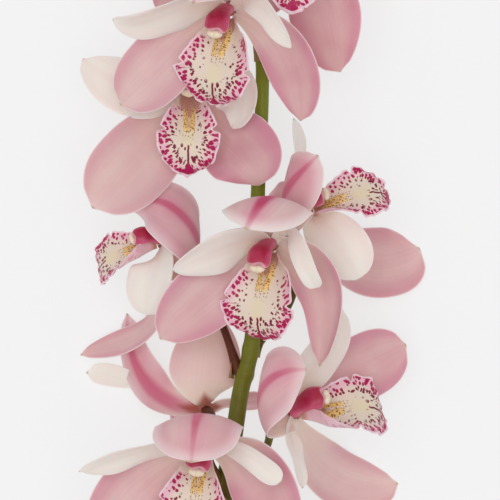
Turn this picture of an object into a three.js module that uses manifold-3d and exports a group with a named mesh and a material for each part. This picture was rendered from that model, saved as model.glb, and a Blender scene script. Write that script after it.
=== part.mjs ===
// Cymbidium orchid stem, cut and laid on a table: one arching spike with ten open blooms, two closed buds at
// its tip and three papery sheaths on its bare lower length. Millimetres, +Z up, table at z = 0, cut end toward
// -Y, and the origin under the middle of the bounding box.
//
// Every bloom is built from formulas: five tepals (a rib curve through four points, a leaf-shaped half width, a
// rolled cross-section), a lip (a trough whose sides stand up beside the column, and a midlobe that hangs from
// it), and a column with its anther cap. The tables below hold each bloom's own pose.
import * as THREE from "three";
import Module from "manifold-3d";

const wasm = await Module();
wasm.setup();

// ---------------------------------------------------------------- frame and sizes
const SHEET = { step: 0.5, x: 125, y: 125 }; // layout sheet: half-millimetre steps from its upper left corner
const AXIS_Z = 46; // height of the spike's axis above the table where it is level
const SHIFT = { x: -1.3, y: 30.5 }; // puts the origin under the middle of the bounding box
const TEPAL = { thick: 1.0, rows: 5, cols: 4, gather: 1.4765, least: 1.1 }; // least: smallest half width
const LIP = {
  thick: 0.9,
  rows: 8,
  cols: 6,
  gather: 1.461,
  least: 0.9,
  start: 2.9, // how far forward of the bloom's centre lip and column start
  width: 16.6, // half width where the lip is broadest
  foot: 0.36, // share of it at the foot
  broadest: 0.49, // share of the length where it is broadest
  flat: 0.3, // half angle of the roll past the side lobes
  back: 0.35, // how far the midlobe's roll turns back from that
  ruffle: 1.5,
};
const CLEAR = 0.3; // air between neighbouring solids of one bloom
const DISC = { thick: 1.6, sides: 6, sink: 0.7 }; // joins a whorl; sink: where on its radius the feet start
const WHORLS = {
  sepals: { forward: -0.3, radius: 4.4 }, // forward: how far along the bloom's axis the whorl stands
  petals: { forward: 1.6, radius: 3.8 },
};
const STALK = { radii: [2.4, 2.0, 2.0, 2.3, 3.1, 2.6], sides: 5, rings: 6, straight: 13, end: 1.2 };
const BUD_STALK = { radii: [2.0, 1.9, 2.1], sides: 5, rings: 3, beyond: 3 };
const SPIKE_MESH = { sides: 8, rings: 28 };
const SHEATH = { thick: 0.7, rows: 5, cols: 7, gap: 1.1, flare: 2.2, wrap: 2.7 };

const finish = (color, roughness) => new THREE.MeshStandardMaterial({ color, roughness, metalness: 0 });
const FINISH = {
  stem: finish(0x76803a, 0.5),
  sheath: finish(0xb69d6c, 0.75),
  bud: finish(0xb9a56f, 0.5),
  sepals: finish(0xdb9fb0, 0.55),
  petals: finish(0xefe0d8, 0.55),
  lip: finish(0xf4ecd6, 0.5),
  column: finish(0xb03a5c, 0.45),
};

const at = (x, y, h) => [
  x * SHEET.step - SHEET.x + SHIFT.x,
  SHEET.y - y * SHEET.step + SHIFT.y,
  h + AXIS_Z,
];

// ---------------------------------------------------------------- small vector kit
const V = (a) => new THREE.Vector3(...a);
const lerp = (a, b, t) => a + (b - a) * t;
const clamp01 = (t) => Math.min(1, Math.max(0, t));
const smooth = (t) => ((t = clamp01(t)), t * t * (3 - 2 * t));
const unit = (a) => V(a).normalize();

/** Curve through the points at even parameters (Lagrange), with its derivative. */
function through(points, u) {
  const n = points.length;
  const c = new THREE.Vector3();
  const d = new THREE.Vector3();
  for (let i = 0; i < n; i++) {
    let w = 1;
    let dw = 0;
    for (let j = 0; j < n; j++) {
      if (j === i) continue;
      const kj = j / (n - 1);
      const span = i / (n - 1) - kj;
      dw = dw * ((u - kj) / span) + w / span;
      w *= (u - kj) / span;
    }
    c.addScaledVector(V(points[i]), w);
    d.addScaledVector(V(points[i]), dw);
  }
  return { c, d };
}

/** Cubic Hermite spline through points of any dimension, tangents from neighbours. */
function spline(points, t) {
  const n = points.length;
  const i = Math.min(n - 2, Math.floor(t * (n - 1)));
  const x = t * (n - 1) - i;
  const slope = (k) => {
    const lo = points[Math.max(0, k - 1)];
    const hi = points[Math.min(n - 1, k + 1)];
    const span = Math.min(n - 1, k + 1) - Math.max(0, k - 1);
    return lo.map((v, a) => (hi[a] - v) / span);
  };
  const [p, q, mp, mq] = [points[i], points[i + 1], slope(i), slope(i + 1)];
  const x2 = x * x;
  const x3 = x2 * x;
  const value = p.map(
    (_, a) =>
      (2 * x3 - 3 * x2 + 1) * p[a] +
      (x3 - 2 * x2 + x) * mp[a] +
      (3 * x2 - 2 * x3) * q[a] +
      (x3 - x2) * mq[a],
  );
  const slopeAt = p.map(
    (_, a) =>
      (6 * x2 - 6 * x) * p[a] +
      (3 * x2 - 4 * x + 1) * mp[a] +
      (6 * x - 6 * x2) * q[a] +
      (3 * x2 - 2 * x) * mq[a],
  );
  return { value, slope: slopeAt };
}

// ---------------------------------------------------------------- solids
/** Closed triangle mesh as a manifold solid, turned outward. */
function solid(positions, triangles) {
  const make = (tris) =>
    new wasm.Manifold(
      new wasm.Mesh({
        numProp: 3,
        vertProperties: new Float32Array(positions.flat()),
        triVerts: new Uint32Array(tris.flat()),
      }),
    );
  const first = make(triangles);
  return first.volume() > 0 ? first : make(triangles.map(([a, b, c]) => [a, c, b]));
}

/** Grid of mid-surface points thickened to both sides; both faces are split along the same diagonals. */
function slab(grid, thick) {
  const rows = grid.length - 1;
  const cols = grid[0].length - 1;
  const P = (i, j) => grid[Math.min(rows, Math.max(0, i))][Math.min(cols, Math.max(0, j))];
  const upper = [];
  const lower = [];
  for (let i = 0; i <= rows; i++)
    for (let j = 0; j <= cols; j++) {
      const along = P(i + 1, j).clone().sub(P(i - 1, j));
      const across = P(i, j + 1).clone().sub(P(i, j - 1));
      const n = across.cross(along).normalize();
      upper.push(P(i, j).clone().addScaledVector(n, thick / 2).toArray());
      lower.push(P(i, j).clone().addScaledVector(n, -thick / 2).toArray());
    }
  const off = upper.length;
  const id = (i, j) => i * (cols + 1) + j;
  const tris = [];
  const rim = (p, q) => tris.push([p, q, q + off], [p, q + off, p + off]);
  for (let i = 0; i < rows; i++)
    for (let j = 0; j < cols; j++) {
      const [a, b, c, d] = [id(i, j), id(i + 1, j), id(i + 1, j + 1), id(i, j + 1)];
      tris.push([a, c, b], [a, d, c]);
      tris.push([a + off, b + off, c + off], [a + off, c + off, d + off]);
    }
  for (let i = 0; i < rows; i++) {
    rim(id(i, 0), id(i + 1, 0));
    rim(id(i + 1, cols), id(i, cols));
  }
  for (let j = 0; j < cols; j++) {
    rim(id(0, j + 1), id(0, j));
    rim(id(rows, j), id(rows, j + 1));
  }
  return solid([...upper, ...lower], tris);
}

/** Closed loft through rings of points, each ring a loop of the same count, ends closed by fans. */
function loft(rings) {
  const n = rings[0].length;
  const pos = rings.flat().map((p) => p.toArray());
  const tris = [];
  for (let i = 0; i + 1 < rings.length; i++)
    for (let j = 0; j < n; j++) {
      const [a, b] = [i * n + j, i * n + ((j + 1) % n)];
      tris.push([a, b, b + n], [a, b + n, a + n]);
    }
  const middle = (ring) =>
    ring.reduce((s, p) => s.add(p), new THREE.Vector3()).divideScalar(n).toArray();
  pos.push(middle(rings[0]), middle(rings.at(-1)));
  const last = (rings.length - 1) * n;
  for (let j = 0; j < n; j++) {
    const k = (j + 1) % n;
    tris.push([pos.length - 2, k, j], [pos.length - 1, last + j, last + k]);
  }
  return solid(pos, tris);
}

const join = (parts) => parts.reduce((a, b) => a.add(b));

/** The biggest body of a solid, without the scraps that a cut leaves. */
const largest = (body) => body.decompose().reduce((a, b) => (b.volume() > a.volume() ? b : a));

// ---------------------------------------------------------------- tepals
/** Share of a tepal's half width: a narrow foot, widest at peak, round to a tip that ends in a point. */
function leafWidth(u, foot, peak, blunt) {
  if (u < peak) return foot + (1 - foot) * Math.sin((u / peak) * (Math.PI / 2)) ** 1.15;
  const fall = Math.max(1 - ((u - peak) / (1 - peak)) ** blunt, 0) ** 0.62;
  return Math.min(fall, 3.4 * blunt * (1 - u));
}

/** Share of a blade's length at row i of n: even angles on a sine, so that rows gather toward the tip. */
const row = (i, n, reach) => Math.sin((i / n) * reach) / Math.sin(reach);

/**
 * Mid-surface of one tepal. rib: four points from foot to tip. n0, n1: where the inner face looks, low down and
 * at the tip; at the very foot it looks along the bloom's axis.
 */
function tepalGrid(t, foot, axis, rows = TEPAL.rows, cols = TEPAL.cols) {
  const o = { curl: 0.3, foot: 0.3, peak: 0.52, blunt: 2.2, ...t };
  const rib = [foot, ...o.rib.slice(1)];
  const grid = [];
  for (let i = 0; i <= rows; i++) {
    const u = row(i, rows, TEPAL.gather);
    const { c, d } = through(rib, u);
    const along = d.normalize();
    const look = unit(o.n0).lerp(unit(o.n1), u).normalize();
    const n = axis.clone().lerp(look, smooth(u / 0.3));
    n.addScaledVector(along, -n.dot(along)).normalize();
    const across = along.clone().cross(n);
    const w = Math.max(o.half * leafWidth(u, o.foot, o.peak, o.blunt), TEPAL.least);
    const line = [];
    for (let j = 0; j <= cols; j++) {
      const a = o.curl * lerp(-1, 1, j / cols);
      line.push(
        c
          .clone()
          .addScaledVector(across, (w / o.curl) * Math.sin(a))
          .addScaledVector(n, (w / o.curl) * (1 - Math.cos(a))),
      );
    }
    grid.push(line);
  }
  return grid;
}

// ---------------------------------------------------------------- a bloom's own axes
function bloomFrame(b) {
  const forward = unit(b.face);
  const up = V(b.up).addScaledVector(forward, -V(b.up).dot(forward)).normalize();
  const right = up.clone().cross(forward);
  const c = V(at(...b.centre));
  /** Point at s forward, d up, r right of the bloom's centre. */
  const place = (s, d, r) =>
    c.clone().addScaledVector(forward, s).addScaledVector(up, d).addScaledVector(right, r);
  /** The same, with sizes scaled by k and lengths forward counted from where lip and column start. */
  const grown = (s, d, r, k) => place(LIP.start + s * k, d * k, r * k);
  return { c, forward, up, right, place, grown };
}

/** Foot of a tepal: on a small ring round the axis, at height s, toward the tepal's second rib point. */
function footOf(f, rib, s, radius) {
  const dir = V(rib[1]).sub(f.c);
  dir.addScaledVector(f.forward, -dir.dot(f.forward)).normalize();
  return f.c.clone().addScaledVector(f.forward, s).addScaledVector(dir, radius).toArray();
}

/** Flat disc round the bloom's axis that the tepals of one whorl share. */
function disc(f, { forward, radius }, extra) {
  const ring = (s) =>
    Array.from({ length: DISC.sides }, (_, i) => {
      const a = (i / DISC.sides) * 2 * Math.PI;
      return f.place(s, (radius + extra) * Math.sin(a), (radius + extra) * Math.cos(a));
    });
  const half = DISC.thick / 2 + extra;
  return loft([ring(forward - half), ring(forward + half)]);
}

/** The tepals of one whorl, fused to their disc; extra is how much every face stands out from its own place. */
function whorl(f, tepals, place, extra = 0) {
  const blades = tepals.map((t) => {
    const rib = t.rib.map((p) => at(...p));
    const foot = footOf(f, rib, place.forward, place.radius * DISC.sink);
    return slab(tepalGrid({ ...t, rib }, foot, f.forward), TEPAL.thick + 2 * extra);
  });
  return join([disc(f, place, extra), ...blades]);
}

// ---------------------------------------------------------------- lip and column
/** The lip's midline as (forward, up). */
const LIP_FLOOR = [
  [0, -4], [7.3, -9], [14.3, -14], [19.8, -20.5], [22.3, -28], [21.3, -35], [18.3, -41],
];

/**
 * Mid-surface of a lip. size scales it and wide its breadth; taper shapes the midlobe; phase shifts its waves;
 * cup is the half angle of its trough at the foot, lean how much steeper its right side stands than its left,
 * and tall how much higher the steeper side stands.
 */
function lipGrid(f, b, rows = LIP.rows, cols = LIP.cols) {
  const { size, wide = 1, taper = 1.6, phase, cup = 1.5, lean = 0, tall = 0 } = b.lip;
  const grid = [];
  for (let i = 0; i <= rows; i++) {
    const u = row(i, rows, LIP.gather);
    const { value, slope } = spline(LIP_FLOOR, u);
    const len = Math.hypot(...slope);
    const n = [-slope[1] / len, slope[0] / len];
    const rise = lerp(LIP.foot, 1, clamp01(u / LIP.broadest) ** 1.1);
    const fall = (1 - clamp01((u - 0.5) / 0.5) ** taper) ** 0.6;
    const half = Math.max(LIP.width * wide * rise * fall, LIP.least);
    const open = lerp(cup, LIP.flat, smooth((u - 0.08) / 0.52));
    const bend = open - LIP.back * smooth((u - 0.65) / 0.35);
    const line = [];
    for (let j = 0; j <= cols; j++) {
      const v = lerp(-1, 1, j / cols);
      const roll = (Math.abs(bend) < 1e-3 ? 1e-3 : bend) * Math.max(1 + lean * Math.sign(v), 0.5);
      const stand = v * lean > 0 ? tall * Math.exp(-(((u - 0.2) / 0.17) ** 2)) : 0;
      const w = half * (1 + stand);
      const side = (w / roll) * Math.sin(roll * v);
      const ruffle = LIP.ruffle * Math.sin(15 * u + 2.2 * v + phase) * v ** 4 * smooth((u - 0.3) / 0.25);
      const lift = (w / roll) * (1 - Math.cos(roll * v)) + ruffle;
      line.push(f.grown(value[0] + lift * n[0], value[1] + lift * n[1], side, size));
    }
    grid.push(line);
  }
  return grid;
}

const COLUMN_AXIS = [[0, 1.5], [6.3, 3.9], [12.8, 4.1], [18.1, 1.0]]; // forward, up
const COLUMN_RINGS = [[3.4, 3.0], [4.2, 2.6], [5.6, 3.0], [4.8, 2.6]]; // half width, half height
const CAP = { forward: 17.7, up: -0.9, long: 2.0, high: 1.9, wide: 3.7 }; // its middle and its three radii

function column(f, size, extra = 0, sides = 7, rings = 3) {
  const loops = [];
  for (let i = 0; i <= rings; i++) {
    const t = i / rings;
    const { value, slope } = spline(COLUMN_AXIS, t);
    const len = Math.hypot(...slope);
    const [hw, hh] = spline(COLUMN_RINGS, t).value.map((v) => v + extra);
    const loop = [];
    for (let j = 0; j < sides; j++) {
      const a = ((j + 0.5) / sides) * 2 * Math.PI;
      const lift = hh * Math.sin(a);
      loop.push(
        f.grown(
          value[0] - (lift * slope[1]) / len,
          value[1] + (lift * slope[0]) / len,
          hw * Math.cos(a),
          size,
        ),
      );
    }
    loops.push(loop);
  }
  const cap = [];
  for (let i = 0; i <= 2; i++) {
    const t = lerp(0.25, 0.9, i / 2) * Math.PI;
    cap.push(
      Array.from({ length: 6 }, (_, j) => {
        const a = (j / 6) * 2 * Math.PI;
        return f.grown(
          CAP.forward - CAP.long * Math.cos(t),
          CAP.up + (CAP.high + extra) * Math.sin(t) * Math.sin(a),
          (CAP.wide + extra) * Math.sin(t) * Math.cos(a),
          size,
        );
      }),
    );
  }
  return loft(loops).add(loft(cap));
}

// ---------------------------------------------------------------- tubes
/** Round tube along a spline; radii are spread evenly along it. */
function tube(points, radii, sides, rings) {
  const loops = [];
  let side = null;
  for (let i = 0; i <= rings; i++) {
    const t = i / rings;
    const { value, slope } = spline(points, t);
    const along = V(slope).normalize();
    if (!side) side = new THREE.Vector3(0, 0, 1).cross(along).normalize();
    side.addScaledVector(along, -side.dot(along)).normalize();
    const other = along.clone().cross(side);
    const r = spline(radii.map((v) => [v]), t).value[0];
    loops.push(
      Array.from({ length: sides }, (_, j) => {
        const a = (j / sides) * 2 * Math.PI;
        return V(value).addScaledVector(side, r * Math.cos(a)).addScaledVector(other, r * Math.sin(a));
      }),
    );
  }
  return loft(loops);
}

// ---------------------------------------------------------------- the spike
const SPIKE = [
  [194, 830, -41.3], [196, 782, -40.6], [200, 720, -35], [207, 640, -22], [216, 560, -9], [226, 490, -2], [236, 422, 0],
  [241, 390, 0], [252, 342, 0], [256, 260, 0], [258, 190, 0], [262, 100, 0], [263, 0, -1], [262, -90, -4], [258, -150, -6],
];
const SPIKE_RADII = [5.1, 5.0, 4.7, 4.4, 4.0, 3.6, 3.2, 2.4];

// Sheaths on the bare stem: where they start and end along it (share of its length), and the side they open to.
const SHEATHS = [
  { from: 0.115, to: 0.195, turn: 0.4 },
  { from: 0.205, to: 0.285, turn: 3.5 },
  { from: 0.288, to: 0.355, turn: 0.9 },
];

const BUDS = [
  { stalk: [[262, -92, -4], [276, -112, 0], [288, -134, 4]], tip: [304, -178, 14], fat: 8.2 },
  { stalk: [[258, -146, -6], [256, -160, -5]], tip: [246, -208, 2], fat: 6.6 },
];

// ---------------------------------------------------------------- the blooms, from the cut end up
const BLOOMS = [
  {
    centre: [206, 443, 26], face: [-0.2, -0.58, 0.77], up: [0.05, 0.8, 0.6],
    lip: { size: 1.1, wide: 1.12, phase: 0.6, lean: 0.3, tall: 0.2 },
    stalk: [[228, 490, -2], [210, 462, 5]],
    sepals: [
      {
        rib: [[203, 446, 26], [203, 419, 38], [198, 416, 58], [192, 460, 76]],
        half: 23.5, n0: [0, -0.6, 0.8], n1: [0, -0.85, -0.5], curl: 0.6, peak: 0.6, blunt: 5,
      },
      {
        rib: [[198, 450, 24], [160, 478, 20], [126, 511, 18], [102, 548, 12]],
        half: 21.5, n0: [0.2, -0.1, 1], n1: [0.2, 0.1, 1],
      },
      {
        rib: [[212, 448, 24], [250, 465, 24], [273, 505, 24], [282, 555, 18]],
        half: 18, n0: [-0.3, 0, 0.95], n1: [-0.4, 0, 0.9], curl: 0.5,
      },
    ],
    petals: [
      {
        rib: [[200, 447, 28], [160, 447, 36], [120, 458, 40], [80, 471, 38]],
        half: 9.5, n0: [0.1, -0.85, 0.5], n1: [0.1, -0.8, 0.6], curl: 0.4,
      },
      {
        rib: [[210, 445, 28], [236, 449, 40], [260, 464, 44], [281, 480, 44]],
        half: 6, n0: [-0.3, -0.4, 0.8], n1: [-0.3, 0.2, 0.9], curl: 0.5, peak: 0.6, blunt: 5,
      },
    ],
  },
  {
    centre: [292, 415, 6], face: [0.73, 0.41, 0.55], up: [-0.66, 0.28, 0.7],
    lip: { size: 1.1, phase: 2.1, lean: -0.6, tall: 1.6 },
    stalk: [[230, 472, -3], [264, 452, -12]],
    sepals: [
      {
        rib: [[290, 416, 8], [259, 405, 24], [268, 381, 42], [306, 369, 50]],
        half: 20, n0: [0.9, 0.1, 0.4], n1: [0.3, -0.3, -0.9], curl: 0.65, foot: 0.62, peak: 0.55, blunt: 3.2,
      },
      {
        rib: [[293, 410, 3], [328, 386, -8], [369, 365, -18], [408, 346, -26]],
        half: 17.3, n0: [0.1, -0.2, 1], n1: [0.1, -0.2, 1], peak: 0.6, blunt: 2.8,
      },
      {
        rib: [[293, 420, 4], [318, 465, -22], [356, 489, -39], [400, 487, -45.2]],
        half: 16, n0: [0.2, 0.3, 0.95], n1: [0.1, 0.3, 0.95],
      },
    ],
    petals: [
      {
        rib: [[292, 406, 6], [308, 376, 9], [328, 345, 11], [343, 309, 6]],
        half: 12, n0: [0.6, -0.1, 0.8], n1: [0.6, 0, 0.8], curl: 0.4, foot: 0.26,
      },
      {
        rib: [[290, 418, 8], [292, 438, 16], [298, 461, 20], [303, 488, 20]],
        half: 5.4, n0: [0.7, 0.3, 0.55], n1: [0.7, 0.2, 0.6], curl: 0.4, foot: 0.5, blunt: 3.5,
      },
    ],
  },
  {
    centre: [205, 410, -14], face: [-0.25, 0.5, -0.83], up: [0.15, 0.8, 0.55],
    lip: { size: 0.72, phase: 3.4 },
    stalk: [[230, 462, 0], [214, 446, 0]],
    sepals: [
      {
        rib: [[200, 407, -14], [158, 396, -24], [133, 363, -36.5], [126, 315, -45.2]],
        half: 11.5, n0: [0.3, 0.3, -0.9], n1: [0.7, -0.1, -0.7], curl: 0.5,
      },
      {
        rib: [[208, 407, -15], [234, 405, -22], [261, 404, -28], [290, 402, -34]],
        half: 9, n0: [0, 0.9, -0.5], n1: [0, 0.9, -0.5],
      },
      {
        rib: [[204, 404, -12], [204, 380, -10], [208, 350, -13], [213, 315, -20]],
        half: 19, n0: [0, 0.1, -1], n1: [0, 0.1, -1], curl: 0.45, foot: 0.25, peak: 0.45,
      },
    ],
    petals: [
      {
        rib: [[202, 414, -16], [195, 442, -24], [175, 465, -32], [160, 490, -40]],
        half: 14, n0: [0, 0, -1], n1: [0, 0.2, -1],
      },
      {
        rib: [[198, 407, -18], [160, 395, -40], [128, 382, -43], [84, 374, -40]],
        half: 6.2, n0: [0, 1, 0.6], n1: [0, 0.25, -1], peak: 0.75, blunt: 5,
      },
    ],
  },
  {
    centre: [164, 242, 0], face: [-0.86, 0.12, 0.5], up: [0.47, 0.55, 0.69],
    lip: { size: 0.86, phase: 4.2, lean: 0.75, tall: 1.1 },
    stalk: [[239, 374, -1], [224, 330, -5], [202, 278, -9]],
    sepals: [
      {
        rib: [[171, 258, -2], [198, 245, 10], [174, 209, 14], [130, 210, 3]],
        half: 21.5, n0: [-0.8, -0.1, 0.05], n1: [-0.2, -0.5, -1], curl: 0.5, foot: 0.7, peak: 0.5,
      },
      {
        rib: [[163, 238, -6], [161, 220, -20], [154, 197, -33], [143, 175, -42]],
        half: 10, n0: [-0.8, 0.3, 0.5], n1: [-0.7, 0.1, 0.7],
      },
      {
        rib: [[168, 262, -4], [155, 317, -20], [124, 343, -31], [78, 356, -37]],
        half: 8.5, n0: [-0.6, 0.6, 0.5], n1: [0.1, 0.5, 0.8],
      },
    ],
    petals: [
      {
        rib: [[164, 236, -2], [160, 208, -9], [153, 178, -19], [145, 148, -29]],
        half: 11, n0: [-0.86, 0.1, 0.5], n1: [-0.8, 0, 0.6],
      },
      {
        rib: [[166, 248, 2], [156, 266, 14], [149, 290, 14], [146, 316, 8]],
        half: 14.5, n0: [-0.8, 0.3, 0.5], n1: [-0.3, 0.1, 0.9], curl: 0.4, foot: 0.65,
      },
    ],
  },
  {
    centre: [306, 214, 2], face: [0.46, 0.52, 0.72], up: [-0.86, 0.07, 0.5],
    lip: { size: 0.95, taper: 1.3, phase: 5.3, lean: -0.3 },
    stalk: [[252, 350, -2], [292, 298, -9]],
    sepals: [
      {
        rib: [[303, 218, 4], [282, 204, 14], [293, 182, 28], [318, 156, 34]],
        half: 19, n0: [0.8, 0.1, 0.5], n1: [0.5, -0.2, -0.8], curl: 0.6, foot: 0.5, peak: 0.5, blunt: 2.6,
      },
      {
        rib: [[308, 222, -2], [343, 256, -27], [385, 264, -41.6], [422, 248, -45.2]],
        half: 19, n0: [0.2, 0.3, 0.9], n1: [0.2, 0.3, 0.9], peak: 0.62, blunt: 3,
      },
      {
        rib: [[304, 210, -4], [290, 202, -18], [276, 199, -30], [266, 200, -40]],
        half: 10, n0: [0.9, -0.2, 0.2], n1: [0.9, -0.2, 0.3],
      },
    ],
    petals: [
      {
        rib: [[309, 216, 4], [326, 231, 9], [344, 251, 12], [358, 280, 11]],
        half: 14.5, n0: [0.2, 0.2, 0.95], n1: [0.1, 0.1, 1], curl: 0.4, foot: 0.45, peak: 0.55, blunt: 3.2,
      },
      {
        rib: [[304, 206, 0], [300, 180, -2], [298, 150, -2], [295, 118, 0]],
        half: 12, n0: [1, 0, 0.2], n1: [1, 0, 0.3],
      },
    ],
  },
  {
    centre: [272, 243, 22], face: [-0.34, -0.54, 0.77], up: [-0.07, 0.84, 0.55],
    lip: { size: 1.08, wide: 1.14, taper: 1.15, phase: 0, lean: 0.2, tall: 0.85 },
    stalk: [[256, 294, 0], [278, 258, 3]],
    sepals: [
      {
        rib: [[272, 240, 22], [275, 205, 34], [266, 199, 56], [246, 230, 76]],
        half: 24, n0: [0, -0.6, 0.8], n1: [-0.1, -0.85, -0.5], curl: 0.75, foot: 0.45, peak: 0.6, blunt: 2.8,
      },
      {
        rib: [[266, 248, 20], [232, 275, 20], [195, 305, 24], [160, 339, 22]],
        half: 18, n0: [0.2, -0.1, 1], n1: [0.2, 0.1, 1],
      },
      {
        rib: [[280, 248, 20], [312, 268, 26], [327, 305, 28], [319, 366, 24]],
        half: 15, n0: [-0.5, 0, 0.85], n1: [-0.7, 0, 0.7], curl: 0.7, foot: 0.65,
      },
    ],
    petals: [
      {
        rib: [[268, 243, 24], [237, 244, 34], [206, 257, 38], [173, 271, 36]],
        half: 14, n0: [0.1, -0.75, 0.65], n1: [0.1, -0.6, 0.8], curl: 0.4, peak: 0.36, blunt: 1.6,
      },
      {
        rib: [[278, 240, 24], [290, 231, 39], [302, 258, 51], [318, 288, 50]],
        half: 5.6, n0: [-0.6, -0.3, 0.7], n1: [-0.45, 0.1, 0.9], curl: 0.5, foot: 0.45, peak: 0.7, blunt: 5,
      },
    ],
  },
  {
    centre: [191, 84, -5], face: [-0.05, -0.15, 0.98], up: [0, 0.98, 0.15],
    lip: { size: 1.06, wide: 0.94, taper: 1.9, phase: 1.3, cup: 1.15 },
    stalk: [[260, 160, -1], [228, 122, -17]],
    sepals: [
      {
        rib: [[191, 82, -6], [192, 60, -9], [193, 38, -13], [193, 15, -18]],
        half: 17, n0: [0, -0.3, 1], n1: [0, -0.6, 0.8],
      },
      {
        rib: [[187, 92, -8], [160, 133, -2], [127, 171, 11], [93, 208, 22]],
        half: 20.5, n0: [0.1, 0.1, 1], n1: [0.3, 0.3, 0.9], peak: 0.6, blunt: 2.8,
      },
      {
        rib: [[196, 92, -8], [221, 131, 0], [244, 154, 8], [258, 186, 10]],
        half: 19.5, n0: [-0.1, 0.1, 1], n1: [-0.2, 0.3, 0.9], curl: 0.25, peak: 0.6, blunt: 2.8,
      },
    ],
    petals: [
      {
        rib: [[186, 87, -4], [155, 92, 0], [118, 83, 0], [82, 57, -6]],
        half: 14.5, n0: [0.1, -0.2, 1], n1: [0.3, 0, 1], curl: 0.4,
      },
      {
        rib: [[197, 84, -4], [225, 80, 2], [241, 100, 8], [231, 128, 11]],
        half: 14, n0: [-0.3, -0.1, 0.95], n1: [-0.7, 0, 0.7], curl: 0.5,
      },
    ],
  },
  {
    centre: [229, 9, 32], face: [-0.32, -0.56, 0.76], up: [-0.02, 0.81, 0.58],
    lip: { size: 1.08, wide: 1.16, taper: 1.05, phase: 2.7, lean: 0.2, tall: 0.75 },
    stalk: [[263, 54, 0], [246, 18, 9]],
    sepals: [
      {
        rib: [[229, 3, 32], [230, -28, 44], [215, -32, 66], [194, 8, 86]],
        half: 23, n0: [0, -0.6, 0.8], n1: [-0.1, -0.85, -0.5], curl: 0.7, peak: 0.6,
      },
      {
        rib: [[222, 14, 30], [186, 38, 26], [153, 72, 23], [120, 105, 17]],
        half: 17.5, n0: [0.2, -0.1, 1], n1: [0.2, 0.2, 1], curl: 0.35, peak: 0.6, blunt: 2.6,
      },
      {
        rib: [[238, 12, 30], [274, 38, 31], [296, 76, 28], [300, 121, 20]],
        half: 14, n0: [-0.3, 0, 0.95], n1: [-0.4, 0, 0.9], curl: 0.4, peak: 0.56,
      },
    ],
    petals: [
      {
        rib: [[224, 8, 34], [188, 9, 42], [150, 23, 44], [113, 21, 40]],
        half: 14, n0: [0.1, -0.85, 0.5], n1: [0.1, -0.8, 0.6], curl: 0.4, peak: 0.42,
      },
      {
        rib: [[234, 4, 34], [252, 3, 50], [271, 22, 60], [290, 51, 62]],
        half: 7, n0: [-0.9, -0.1, 0.4], n1: [-0.8, 0.6, 0.3], curl: 0.5, blunt: 2.6,
      },
    ],
  },
  {
    centre: [287, -45, 8], face: [0.1, 0.4, 0.9], up: [0, 0.9, -0.4],
    lip: { size: 1.05, phase: 3.9 },
    stalk: [[263, 10, -1], [276, -10, -7]],
    sepals: [
      {
        rib: [[287, -48, 8], [287, -82, 9], [286, -118, 17], [282, -148, 31]],
        half: 18, n0: [0, -0.3, 1], n1: [0, -0.8, 0.5], curl: 0.4,
      },
      {
        rib: [[283, -40, 6], [272, -18, 8], [266, 0, 9], [262, 14, 9]],
        half: 10, n0: [0.2, 0.1, 1], n1: [0.3, 0.2, 1],
      },
      {
        rib: [[292, -40, 6], [320, -8, 4], [329, 30, 2], [341, 71, -2]],
        half: 18.5, n0: [-0.2, 0.1, 1], n1: [-0.2, 0.2, 1], peak: 0.5, blunt: 2,
      },
    ],
    petals: [
      {
        rib: [[282, -46, 10], [258, -62, 22], [239, -88, 34], [227, -118, 44]],
        half: 13, n0: [0.2, -0.2, 1], n1: [0.3, 0, 1], curl: 0.4, foot: 0.25,
      },
      {
        rib: [[292, -46, 10], [322, -58, 18], [350, -78, 22], [372, -105, 22]],
        half: 13, n0: [-0.2, -0.2, 1], n1: [-0.3, 0, 1], curl: 0.4,
      },
    ],
  },
  {
    centre: [205, -90, 0], face: [-0.85, 0.3, 0.42], up: [0.4, 0.35, 0.8],
    lip: { size: 0.95, phase: 5.8 },
    stalk: [[262, -30, -2], [246, -60, -5]],
    sepals: [
      {
        rib: [[207, -92, 2], [224, -105, 20], [205, -128, 34], [178, -138, 38]],
        half: 16, n0: [-0.8, 0.2, 0.5], n1: [-0.4, -0.3, -0.8], curl: 0.6,
      },
      {
        rib: [[203, -92, -6], [180, -100, -28], [150, -105, -41.8], [118, -108, -45.7]],
        half: 15, n0: [-0.6, -0.1, 0.7], n1: [0.1, -0.1, 0.9],
      },
      {
        rib: [[205, -84, -4], [198, -50, -10], [180, -18, -14], [157, 12, -16]],
        half: 17, n0: [-0.7, 0.2, 0.6], n1: [-0.4, 0.3, 0.8],
      },
    ],
    petals: [
      {
        rib: [[203, -96, -2], [192, -124, -6], [172, -150, -10], [150, -170, -14]],
        half: 12, n0: [-0.9, -0.2, 0.4], n1: [-0.9, -0.2, 0.4],
      },
      {
        rib: [[203, -86, 2], [192, -64, 12], [180, -40, 14], [172, -14, 8]],
        half: 12, n0: [-0.8, 0.3, 0.5], n1: [-0.5, 0.1, 0.8], curl: 0.4,
      },
    ],
  },
];

// ---------------------------------------------------------------- assembly
/** The spike with every flower stalk fused to it. */
function stem() {
  const parts = [tube(SPIKE.map((p) => at(...p)), SPIKE_RADII, SPIKE_MESH.sides, SPIKE_MESH.rings)];
  for (const b of BLOOMS) {
    const f = bloomFrame(b);
    const path = [
      ...b.stalk.map((p) => at(...p)),
      f.place(-STALK.straight, 0, 0).toArray(),
      f.place(-STALK.end, 0, 0).toArray(),
    ];
    parts.push(tube(path, STALK.radii, STALK.sides, STALK.rings));
  }
  for (const b of BUDS) {
    const path = [...b.stalk.map((p) => at(...p)), budFrame(b).foot.toArray()];
    parts.push(tube(path, BUD_STALK.radii, BUD_STALK.sides, BUD_STALK.rings));
  }
  return join(parts);
}

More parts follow.
